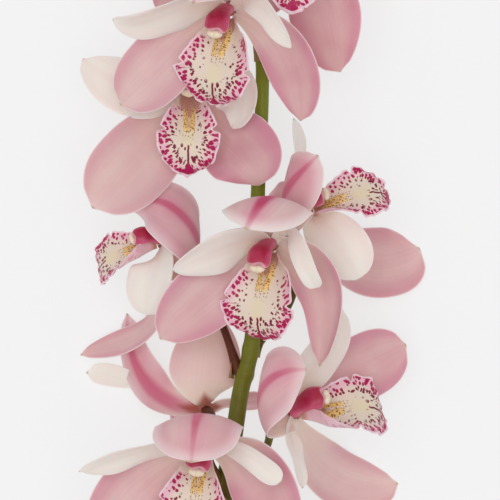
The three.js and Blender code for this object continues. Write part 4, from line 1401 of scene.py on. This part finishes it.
class Effect(Wires):
    """A shader node group under construction: the wires in it, its inputs, and its one output, a number."""

    def __init__(self, name: str, output: str, *inputs: str) -> None:
        """Makes the group's sockets.

        Args:
            name: The group's name.
            output: Name of its output.
            inputs: Names of its inputs; Place is a vector and the others are numbers.
        """
        super().__init__(bpy.data.node_groups.new(name, "ShaderNodeTree"))
        for label in inputs:
            kind = "NodeSocketVector" if label == "Place" else "NodeSocketFloat"
            self.tree.interface.new_socket(label, in_out="INPUT", socket_type=kind)
        self.tree.interface.new_socket(output, in_out="OUTPUT", socket_type="NodeSocketFloat")
        self.inputs = tuple(self.tree.nodes.new("NodeGroupInput").outputs)[: len(inputs)]
        self.end = self.tree.nodes.new("NodeGroupOutput").inputs[0]

    def close(self, result: Socket) -> bpy.types.NodeTree:
        """Links the output and returns the group."""
        self.feed(self.end, result)
        return self.tree


def veins_effect() -> bpy.types.NodeTree:
    """Fine veins from foot to tip: noise stretched along the blade, at the share across times a count.

    Returns:
        The group.
    """
    w = Effect("lengthwise_veins", "Mask", "Across", "Along", "Count")
    across, along, count = w.inputs
    wander = w.times(w.noise(w.vector(w.times(across, 2.0), w.times(along, 3.0))), 0.14)
    place = w.times(w.plus(across, wander), count)
    return w.close(w.fit(w.noise(w.vector(place, w.times(along, 1.1)), 1.0, 3.0, 0.6), 0.4, 0.62))


def spots_effect() -> bpy.types.NodeTree:
    """Blotches: scattered cells whose warped distance is under a radius that differs from cell to cell.

    Returns:
        The group.
    """
    w = Effect("blotches", "Mask", "Place", "Radius", "Warp", "Soft")
    place, radius, warp, soft = w.inputs
    x, y, z = w.split(place)
    drift = w.times(w.less(w.noise(place, 1.7), 0.5), warp)
    swing = w.times(w.less(w.noise(w.vector(y, x, 7.3), 1.9), 0.5), warp)
    warped = w.vector(w.plus(x, drift), w.plus(y, swing), z)
    cells = w.add("TexVoronoi", {"Vector": warped, "Scale": 1.0, "Randomness": 1.0}, voronoi_dimensions="2D")
    reach = w.times(radius, w.line(w.split(cells.outputs["Color"])[0], 0.0, 1.0, 0.62, 1.12))
    return w.close(w.less(1.0, w.fit(cells.outputs["Distance"], w.less(reach, soft), reach)))


def mottle_effect() -> bpy.types.NodeTree:
    """Soft uneven tint over a surface: octaves of noise on its own place, from 0 to 1."""
    w = Effect("soft_mottle", "Mask", "Place", "Scale")
    return w.close(w.fit(w.noise(*w.inputs, 3.0), 0.3, 0.7))


def grain_effect() -> bpy.types.NodeTree:
    """Height of the fine cells that make a petal sparkle: small noise, in shares of a bump's distance."""
    w = Effect("cell_grain", "Height", "Place", "Scale")
    return w.close(w.noise(*w.inputs, 4.0, 0.7))


class Effects:
    """The shader groups that several materials share."""

    def __init__(self) -> None:
        """Builds each group once."""
        self.veins, self.spots = veins_effect(), spots_effect()
        self.mottle, self.grain = mottle_effect(), grain_effect()


class Skin(Wires):
    """A material under construction: the wires of its pattern, its colour so far, and its shader."""

    def __init__(
        self,
        name: str,
        effects: Effects,
        ground: str,
        gloss: float,
        flesh: float,
        depth: float,
        sheen: float = 0.0,
    ) -> None:
        """Makes the material and sets the plain values on its shader's own sockets.

        Args:
            name: The material's name.
            effects: The groups that its pattern may use.
            ground: Its first colour.
            gloss: How much it shines.
            flesh: Share of the light that goes into it.
            depth: How far that light goes, in m.
            sheen: How much it is like velvet.
        """
        self.made = bpy.data.materials.new(name)
        self.made.use_nodes = True
        super().__init__(self.made.node_tree)
        self.effects = effects
        self.colour: Value = ground
        self.shader = self.tree.nodes["Principled BSDF"].inputs
        weights = {"Specular IOR Level": gloss, "Subsurface Weight": flesh, "Sheen Weight": sheen}
        for label, value in weights.items():
            self.shader[label].default_value = value
        self.shader["Subsurface Radius"].default_value = FLESH_RADIUS
        self.shader["Subsurface Scale"].default_value = depth

    def coat(self, share: Value, colour: Value) -> None:
        """Lays a colour over the colour so far, by share."""
        self.colour = self.blend(share, self.colour, colour)

    def mottle(self, scale: float) -> Socket:
        """Soft uneven tint of the surface."""
        return self.use(self.effects.mottle, Place=self.here(), Scale=scale)

    def grain(self, scale: float) -> Socket:
        """Fine cells of the surface."""
        return self.use(self.effects.grain, Place=self.here(), Scale=scale)

    def veins(self, across: Value, along: Value, count: float) -> Socket:
        """Lengthwise veins at these shares across and along."""
        return self.use(self.effects.veins, Across=across, Along=along, Count=count)

    def spots(self, x: Value, y: Value, radius: Value, warp: float, soft: float) -> Socket:
        """Blotches in the plane of x and y."""
        return self.use(self.effects.spots, Place=self.vector(x, y), Radius=radius, Warp=warp, Soft=soft)

    def close(self, rough: Value, height: Value, strength: float, deep: float) -> bpy.types.Material:
        """Links colour, roughness and a bump to the shader.

        Args:
            rough: Roughness.
            height: Height of the bump, 0 to 1.
            strength: How strongly the bump shows.
            deep: Depth of the bump in mm.

        Returns:
            The finished material.
        """
        bump = self.add("Bump", {"Strength": strength, "Distance": deep * MM, "Height": height})
        for label, value in (("Base Color", self.colour), ("Roughness", rough), ("Normal", bump.outputs[0])):
            self.feed(self.shader[label], value)
        return self.made


# --- finishes
@dataclass(frozen=True)
class TepalFinish:
    """Skin of sepals and petals: pink over cream, mauve margins, a pale edge and a magenta outer midrib."""

    name: str
    pale: str = "f5f0e7"
    pink: str = "c38390"
    mauve: str = "cd8ba5"
    cream: str = "efe2cd"
    glow: str = "d77aa0"
    streak: str = "c23a6b"
    tip: str = "9c8a52"
    edge: str = "f6e9e6"
    ruddy: str = "a23a1e"

    def make(self, effects: Effects) -> bpy.types.Material:
        """Builds the material.

        Pink grows with the part's blush and toward the margin, and fades to cream at the foot. Outside, a
        streak that narrows from foot to tip lies in a wider rosy glow, and the foot is stained red-brown.

        Args:
            effects: The shared groups.

        Returns:
            The material.
        """
        w = Skin(self.name, effects, self.pale, gloss=0.25, flesh=0.4, depth=0.003, sheen=0.05)
        x, _, rim = w.read("surface")
        v, u, inner = w.read("share")
        blush, streak, _ = w.read("tone")
        run = w.plus(u, w.times(w.number("seed"), 1.4))
        veins = w.veins(v, run, 16.0)
        threads = w.veins(v, run, 46.0)
        mottle = w.mottle(55.0)
        side, off = w.size(v), w.size(x)
        outside = w.less(1.0, inner)
        hooded = w.times(outside, streak)
        # pink and mauve over the pale ground, cream at the foot
        depth = w.times(blush, w.line(mottle, 0.0, 1.0, 0.76, 1.04))
        depth = w.plus(depth, w.times(w.fit(side, 0.3, 1.0), w.fit(u, 0.1, 0.5), 0.34, blush))
        w.coat(w.times(depth, w.fit(u, -0.05, 0.5, 0.25, 1.0)), self.pink)
        uneven = w.line(mottle, 1.0, 0.0, 0.7, 1.0)
        w.coat(w.times(w.fit(side, 0.35, 1.0), w.fit(u, 0.1, 0.45), blush, uneven), self.mauve)
        w.coat(w.times(w.fit(u, 0.45, 0.0), 0.6), self.cream)
        lines = w.plus(w.times(veins, 0.2), w.times(threads, 0.16))
        w.coat(w.times(lines, blush, w.fit(rim, 0.4, 3.0)), self.mauve)
        # the outer face: rosy glow, pale margin, streak along the midrib, stained foot
        w.coat(w.times(w.fit(off, 13.0, 2.0), hooded, 0.32), self.glow)
        w.coat(w.times(w.fit(rim, 8.0, 0.5), w.fit(u, 0.3, 0.55), hooded, 0.5), self.edge)
        reach = w.times(w.line(u, 0.42, 1.0, 6.2, 1.2), w.fit(streak, 1.0, 2.0, 1.0, 2.0))
        band = w.fit(off, reach, w.times(reach, 0.25))
        band = w.times(band, w.fit(u, 0.0, 0.25, 0.4, 1.0), w.fit(u, 0.75, 1.0, 1.0, 0.3))
        strength = w.times(streak, w.line(outside, 0.0, 1.0, 0.15, 0.72))
        fibre = w.line(w.noise(w.vector(w.times(v, 40.0), w.times(u, 3.0))), 0.3, 0.7, 0.8, 1.08)
        w.coat(w.times(band, strength, fibre), self.streak)
        w.coat(w.times(w.fit(w.plus(u, w.times(off, 0.03)), 0.22, 0.07), outside, 0.85), self.ruddy)
        # thin edge and tip
        w.coat(w.times(w.fit(rim, 0.75, 0.05), 0.6), self.edge)
        w.coat(w.times(w.fit(u, 0.984, 0.999), 0.6), self.tip)
        grain = w.grain(2600.0)
        height = w.plus(w.times(veins, -0.7), w.times(grain, 0.3))
        return w.close(w.line(grain, 0.2, 0.8, 0.42, 0.56), height, 0.22, 0.1)


@dataclass(frozen=True)
class LipFinish:
    """Skin of the lip: cream, a yellow middle, golden ridges, maroon to magenta spots, a pink-white rim."""

    cream: str = "e6d5c6"
    middle: str = "e6daa6"
    blush: str = "ecb6ca"
    rim: str = "f4dfe8"
    gold: str = "edc468"
    fleck: str = "7c2c22"
    throat: str = "96443a"
    gullet: str = "cf9484"
    maroon: str = "80113a"
    magenta: str = "b01254"
    outside: str = "efdedb"
    outer_spot: str = "c0568a"

    def make(self, effects: Effects) -> bpy.types.Material:
        """Builds the material.

        The spots of the band are cells laid out by mm along the margin and mm to it, so that they point at
        the margin; they shrink and darken inward and stop a millimetre short of it. Dashes run down the
        midlobe, and a line along the midrib widens to a patch at the tip.

        Args:
            effects: The shared groups.

        Returns:
            The material.
        """
        w = Skin("lip_skin", effects, self.cream, gloss=0.3, flesh=0.2, depth=0.0008)
        x, y, rim = w.read("surface")
        v, u, inner = w.read("share")
        ridge_end, edge, reach = w.read("tone")
        side = w.size(x)
        start = w.times(w.number("seed"), 3.7)
        midlobe = w.fit(u, 0.4, 0.5)
        # ground
        w.coat(w.times(w.fit(side, 6.0, 0.0), w.fit(u, 0.35, 0.5), w.fit(u, 0.75, 0.55), 0.45), self.middle)
        grown = w.fit(u, 0.14, 0.3)
        w.coat(w.times(w.fit(reach, 7.0, 2.5), grown, 0.8), self.blush)
        # the band of blobs along the margin, dashes down the middle, a few stray dots
        pale = w.less(rim, w.fit(u, 0.72, 0.95, 0.0, 0.6))
        rimmed = w.fit(pale, 0.8, 1.2)
        wide = w.line(midlobe, 0.0, 1.0, 8.0, 9.0)
        radius = w.times(w.line(reach, wide, 1.2, 0.36, 0.62), w.line(midlobe, 0.0, 1.0, 0.8, 1.0))
        band = w.spots(w.plus(w.times(edge, 0.52), start), w.times(reach, 0.36), radius, 0.45, 0.06)
        band = w.times(band, rimmed, w.fit(reach, wide, w.times(wide, 0.93)), w.fit(u, 0.2, 0.24))
        dash = w.spots(w.plus(w.times(x, 0.36), start), w.times(y, 0.24), 0.3, 0.3, 0.06)
        dash = w.times(dash, w.fit(reach, 6.0, 7.0), w.fit(u, 0.56, 0.62), w.fit(side, 0.9, 1.3))
        gate = w.fit(w.noise(w.vector(w.times(x, 0.16), w.times(y, 0.16), start)), 0.45, 0.5)
        dots = w.spots(w.times(x, 0.36), w.plus(w.times(y, 0.32), start), 0.24, 0.4, 0.06)
        dots = w.times(dots, w.fit(side, 3.6, 5.0), gate, w.fit(reach, 6.5, 7.5), w.fit(u, 0.36, 0.42))
        # midline and tip
        wobble = w.times(w.less(w.noise(w.vector(0.0, w.times(y, 0.5), start)), 0.5), 1.1)
        off = w.size(w.plus(x, wobble))
        line = w.times(w.fit(off, 0.62, 0.38), w.fit(u, 0.6, 0.62))
        ragged = w.noise(w.vector(w.times(x, 1.1), w.times(y, 0.5), start), 1.0, 3.0)
        torn = w.times(w.fit(u, 0.76, 0.97, 0.0, 3.9), w.line(ragged, 0.25, 0.75, 0.45, 1.3))
        patch = w.times(w.fit(off, torn, w.times(torn, 0.86)), w.fit(u, 0.78, 0.8))
        mark = w.most(band, dash, dots, w.times(w.most(line, patch), rimmed))
        ink = w.blend(w.fit(reach, 8.0, 4.5), self.maroon, self.magenta)
        ink = w.blend(patch, ink, self.magenta)
        # ridges, and the freckled throat above them
        begin = w.less(ridge_end, 0.25)
        crest = w.size(w.less(side, w.line(u, begin, ridge_end, 2.0, 1.45)))
        ridge = w.times(w.fit(crest, 1.45, 0.95), w.fit(u, w.less(begin, 0.05), begin))
        ridge = w.times(ridge, w.fit(u, w.plus(ridge_end, 0.03), w.less(ridge_end, 0.03)))
        w.coat(w.times(ridge, 0.82), self.gold)
        vee = w.line(u, w.less(begin, 0.06), w.plus(begin, 0.12), 6.5, 0.0)
        deep = w.fit(side, vee, w.times(vee, 0.8))
        deep = w.times(deep, w.fit(u, w.plus(begin, 0.12), w.plus(begin, 0.08)))
        freckle = w.spots(w.times(x, 1.7), w.times(y, 1.6), 0.36, 0.5, 0.15)
        gullet = w.blend(w.times(freckle, 0.75), self.gullet, self.throat)
        w.coat(w.times(deep, w.line(ridge, 0.0, 1.0, 0.9, 0.3)), gullet)
        fleck = w.spots(w.times(x, 0.95), w.times(y, 0.8), 0.33, 0.5, 0.1)
        trail = w.times(w.fit(side, 3.4, 2.6), w.fit(u, w.plus(ridge_end, 0.1), ridge_end))
        fleck = w.times(fleck, w.most(ridge, w.times(trail, w.fit(u, begin, ridge_end))))
        w.coat(w.times(fleck, 0.85), self.fleck)
        bare = w.times(w.fit(ridge, 0.4, 0.1), w.fit(deep, 0.5, 0.2))
        w.coat(w.times(mark, bare), ink)
        w.coat(w.times(w.fit(pale, 1.1, 0.4), grown, 0.75), self.rim)
        # outer face
        faint = w.blend(w.times(w.fit(rim, 7.0, 1.0), 0.7), self.outside, self.blush)
        faint = w.blend(w.times(mark, 0.4), faint, self.outer_spot)
        faint = w.blend(w.fit(u, 0.08, 0.02), faint, self.gullet)
        w.colour = w.blend(inner, faint, w.colour)
        grain = w.grain(2200.0)
        height = w.plus(w.times(grain, 0.4), w.times(w.veins(v, u, 22.0), 0.5))
        return w.close(w.line(grain, 0.2, 0.8, 0.36, 0.5), height, 0.3, 0.1)


@dataclass(frozen=True)
class ColumnFinish:
    """Skin of the column: crimson above, rose toward its foot and wings, cream with red dots beneath."""

    crimson: str = "a8113c"
    rose: str = "dd6a90"
    wing: str = "efb9c2"
    beneath: str = "c98d7c"
    dots: str = "8e2f33"

    def make(self, effects: Effects) -> bpy.types.Material:
        """Builds the material from how far round (tone x) and how far along (tone y) a point lies.

        Args:
            effects: The shared groups.

        Returns:
            The material.
        """
        w = Skin("column_skin", effects, self.crimson, gloss=0.45, flesh=0.1, depth=0.001)
        x, y, _ = w.read("surface")
        top, u, _ = w.read("tone")
        rosy = w.plus(w.times(w.fit(u, 0.6, 0.1), 0.5), w.times(w.mottle(260.0), 0.18))
        w.coat(w.plus(rosy, w.times(w.fit(top, 0.9, 0.3), 0.5)), self.rose)
        w.coat(w.times(w.fit(top, 0.3, -0.05), w.fit(u, 0.55, 0.95)), self.wing)
        speck = w.spots(w.times(x, 1.6), w.times(y, 1.6), 0.34, 0.5, 0.1)
        w.coat(w.fit(top, 0.0, -0.3), w.blend(w.times(speck, 0.7), self.beneath, self.dots))
        w.coat(w.times(w.fit(u, 0.945, 0.985), 0.7), self.wing)
        grain = w.grain(2400.0)
        return w.close(w.line(grain, 0.2, 0.8, 0.34, 0.48), grain, 0.25, 0.08)


@dataclass(frozen=True)
class CapFinish:
    """Skin of the anther cap: waxy cream, its own uneven yellow tint, and painted yellow shade along its
    furrow.
    """

    cream: str = "f1e3cd"
    # yellow: the cap's own uneven tint, and also painted shade along its furrow
    yellow: str = "e3cf9c"

    def make(self, effects: Effects) -> bpy.types.Material:
        """Builds the material.

        Args:
            effects: The shared groups.

        Returns:
            The material.
        """
        w = Skin("anther_cap", effects, self.cream, gloss=0.5, flesh=0.25, depth=0.0015)
        # painted shade: the yellow laid along the furrow stands in for the shadow in the groove; the mottle
        # is the cap's own uneven tint
        furrow = w.fit(w.size(w.read("surface")[0]), 0.9, 0.1)
        w.coat(w.most(w.times(furrow, 0.4), w.times(w.mottle(420.0), 0.3)), self.yellow)
        grain = w.grain(2600.0)
        return w.close(w.line(grain, 0.2, 0.8, 0.3, 0.42), grain, 0.2, 0.05)


@dataclass(frozen=True)
class StemFinish:
    """Skin of spike, stalks and bracts: fibrous green to olive, red-brown stalks, straw bracts."""

    green: str = "77801c"
    olive: str = "5c4f0c"
    light: str = "9aa53c"
    ruddy: str = "551d10"
    flush: str = "7c5a2c"
    bract: str = "a78f5c"

    def make(self, effects: Effects) -> bpy.types.Material:
        """Builds the material: tone is how ruddy, how far along, and 0 on the spike, 1 a stalk, 2 a bract.

        Args:
            effects: The shared groups.

        Returns:
            The material.
        """
        w = Skin("stem_skin", effects, self.green, gloss=0.25, flesh=0.08, depth=0.001)
        _, length, _ = w.read("surface")
        v, _, _ = w.read("share")
        ruddy, along, kind = w.read("tone")
        fibre = w.noise(w.vector(w.times(v, 60.0), w.times(length, 0.12)), 1.0, 4.0, 0.65)
        w.coat(w.plus(w.fit(along, 0.75, 0.28), w.line(w.mottle(90.0), 0.0, 1.0, -0.15, 0.15)), self.olive)
        fading = w.times(w.fit(along, 0.5, 1.0), w.fit(ruddy, 1.0, 0.5))
        brown = w.blend(fading, self.ruddy, self.flush)
        w.coat(w.times(ruddy, w.fit(kind, 0.4, 0.6)), brown)
        w.coat(w.fit(fibre, 0.5, 0.75, 0.0, 0.3), self.light)
        freckle = w.fit(w.noise(w.here(), 900.0), 0.62, 0.7)
        w.coat(w.times(freckle, 0.35), self.ruddy)
        w.coat(w.fit(kind, 1.4, 1.6), w.blend(w.fit(fibre, 0.4, 0.6), self.bract, self.flush))
        height = w.plus(w.times(fibre, 0.8), w.times(w.grain(1800.0), 0.2))
        return w.close(w.line(fibre, 0.3, 0.7, 0.36, 0.52), height, 0.5, 0.2)


@dataclass(frozen=True)
class SheathFinish:
    """Dry papery leaf: straw over a green foot, brown veins, and a brown torn-looking edge."""

    straw: str = "c4ab74"
    green: str = "8d9150"
    brown: str = "7d5a30"

    def make(self, effects: Effects) -> bpy.types.Material:
        """Builds the material.

        Args:
            effects: The shared groups.

        Returns:
            The material.
        """
        w = Skin("sheath_paper", effects, self.green, gloss=0.3, flesh=0.1, depth=0.001)
        _, _, rim = w.read("surface")
        v, u, _ = w.read("share")
        mottle = w.mottle(160.0)
        veins = w.veins(v, u, 34.0)
        w.coat(w.plus(w.fit(u, 0.0, 0.5), w.line(mottle, 0.0, 1.0, -0.25, 0.25)), self.straw)
        w.coat(w.times(veins, 0.45), self.brown)
        burnt = w.plus(w.fit(rim, 1.6, 0.2), w.times(w.fit(u, 0.8, 1.0), 0.5))
        w.coat(w.times(burnt, w.line(mottle, 0.0, 1.0, 0.3, 0.8)), self.brown)
        height = w.plus(veins, w.times(w.grain(1200.0), 0.4))
        return w.close(w.line(mottle, 0.0, 1.0, 0.55, 0.75), height, 0.6, 0.2)


@dataclass(frozen=True)
class BudFinish:
    """Skin of a closed bud: yellow-green with a rose flush toward its tip, and green along its laps."""

    green: str = "a8a860"
    pink: str = "cf93a0"
    cream: str = "dccfa6"

    def make(self, effects: Effects) -> bpy.types.Material:
        """Builds the material.

        Args:
            effects: The shared groups.

        Returns:
            The material.
        """
        w = Skin("bud_skin", effects, self.green, gloss=0.35, flesh=0.15, depth=0.0014)
        _, _, lap = w.read("surface")
        v, u, _ = w.read("share")
        veins = w.veins(v, u, 26.0)
        w.coat(w.fit(u, 0.05, 0.5), self.cream)
        uneven = w.line(w.mottle(150.0), 0.0, 1.0, -0.2, 0.2)
        w.coat(w.plus(w.fit(u, 0.25, 0.95, 0.1, 0.75), uneven), self.pink)
        w.coat(w.times(veins, 0.2), self.green)
        seam = w.plus(w.fit(lap, 0.3, 0.0), w.fit(lap, math.pi - 0.3, math.pi))
        w.coat(w.times(seam, 0.5), self.green)
        grain = w.grain(2000.0)
        height = w.plus(w.times(veins, 0.5), w.times(grain, 0.4))
        return w.close(w.line(grain, 0.2, 0.8, 0.38, 0.52), height, 0.4, 0.15)


class Finishes:
    """Every material of the object, made once."""

    def __init__(self) -> None:
        """Builds the shared groups and every material."""
        effects = Effects()
        self.tepal = {
            Whorl.SEPALS: TepalFinish("sepal_skin", pale="f0e1d8").make(effects),
            Whorl.PETALS: TepalFinish("petal_skin", pink="dca3ad").make(effects),
        }
        self.lip = LipFinish().make(effects)
        self.column = ColumnFinish().make(effects)
        self.cap = CapFinish().make(effects)
        self.stem = StemFinish().make(effects)
        self.sheath = SheathFinish().make(effects)
        self.bud = BudFinish().make(effects)


# --- studio
@dataclass(frozen=True)
class Studio:
    """A pale glowing table, a pale room, a broad soft lamp overhead and a camera that looks straight down.

    middle: what the camera looks at. height: of the lens above it. frame: side of the square it sees at that
    height. Lengths are in metres.
    """

    middle: Point = (-0.0013, 0.0305, 0.066)
    height: float = 4.0
    frame: float = 0.25
    sensor: float = 36.0  # mm
    sight: float = 20.0
    table_reach: float = 3.0
    table_rough: float = 0.9
    table_paint: float = 0.26
    table_glow: float = 0.665
    room: float = 0.56
    lamp_place: Point = (-0.25, 0.0, 3.0)
    lamp_side: float = 2.2
    lamp_watts: float = 38.0

    def floor(self) -> None:
        """The table: a slightly glowing matt sheet, so that shadows on it stay faint."""
        mesh = bpy.data.meshes.new("table_top")
        r = self.table_reach
        corners = [(-r, -r, 0), (r, -r, 0), (r, r, 0), (-r, r, 0)]
        mesh.from_pydata(corners, [], [(0, 1, 2, 3)])
        made = bpy.data.materials.new("table_paper")
        made.use_nodes = True
        looks = {
            "Base Color": (*(self.table_paint,) * 3, 1.0),
            "Roughness": self.table_rough,
            "Specular IOR Level": 0.0,
            "Emission Color": WHITE,
            "Emission Strength": self.table_glow,
        }
        for label, value in looks.items():
            made.node_tree.nodes["Principled BSDF"].inputs[label].default_value = value
        mesh.materials.append(made)
        add_object("table_top", mesh)

    def light(self) -> None:
        """The room's even light, and the lamp turned toward what the camera looks at."""
        world = bpy.data.worlds.new("pale_room")
        world.use_nodes = True
        background = world.node_tree.nodes["Background"].inputs
        background["Color"].default_value = WHITE
        background["Strength"].default_value = self.room
        bpy.context.scene.world = world
        lamp = bpy.data.lights.new("soft_lamp", "AREA")
        lamp.size = self.lamp_side
        lamp.energy = self.lamp_watts
        obj = add_object("soft_lamp", lamp)
        obj.location = self.lamp_place
        x, y, z = (target - place for target, place in zip(self.middle, self.lamp_place))
        obj.rotation_euler = (math.atan2(math.hypot(x, y), -z), 0.0, math.atan2(y, x) - math.pi / 2)

    def camera(self) -> None:
        """The camera: far and long, so that it sees almost no perspective."""
        lens = bpy.data.cameras.new("overhead_camera")
        lens.sensor_width = self.sensor
        lens.lens = self.sensor * self.height / self.frame
        lens.clip_end = self.sight
        obj = add_object("overhead_camera", lens)
        obj.location = (*self.middle[:2], self.middle[2] + self.height)
        bpy.context.scene.camera = obj

    def build(self) -> None:
        """Sets floor, light, camera and plain view colours."""
        self.floor()
        self.light()
        self.camera()
        bpy.context.scene.view_settings.view_transform = "Standard"


# --- main
def main() -> None:
    """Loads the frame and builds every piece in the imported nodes' places."""
    logging.basicConfig(level=logging.INFO, format="%(name)s: %(message)s")
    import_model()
    Studio().build()
    finishes = Finishes()
    for group in ((Stem(BLOOMS, BUDS),), SHEATHS, BLOOMS, BUDS):
        for thing in group:
            thing.build(finishes)


if __name__ == "__main__":
    main()
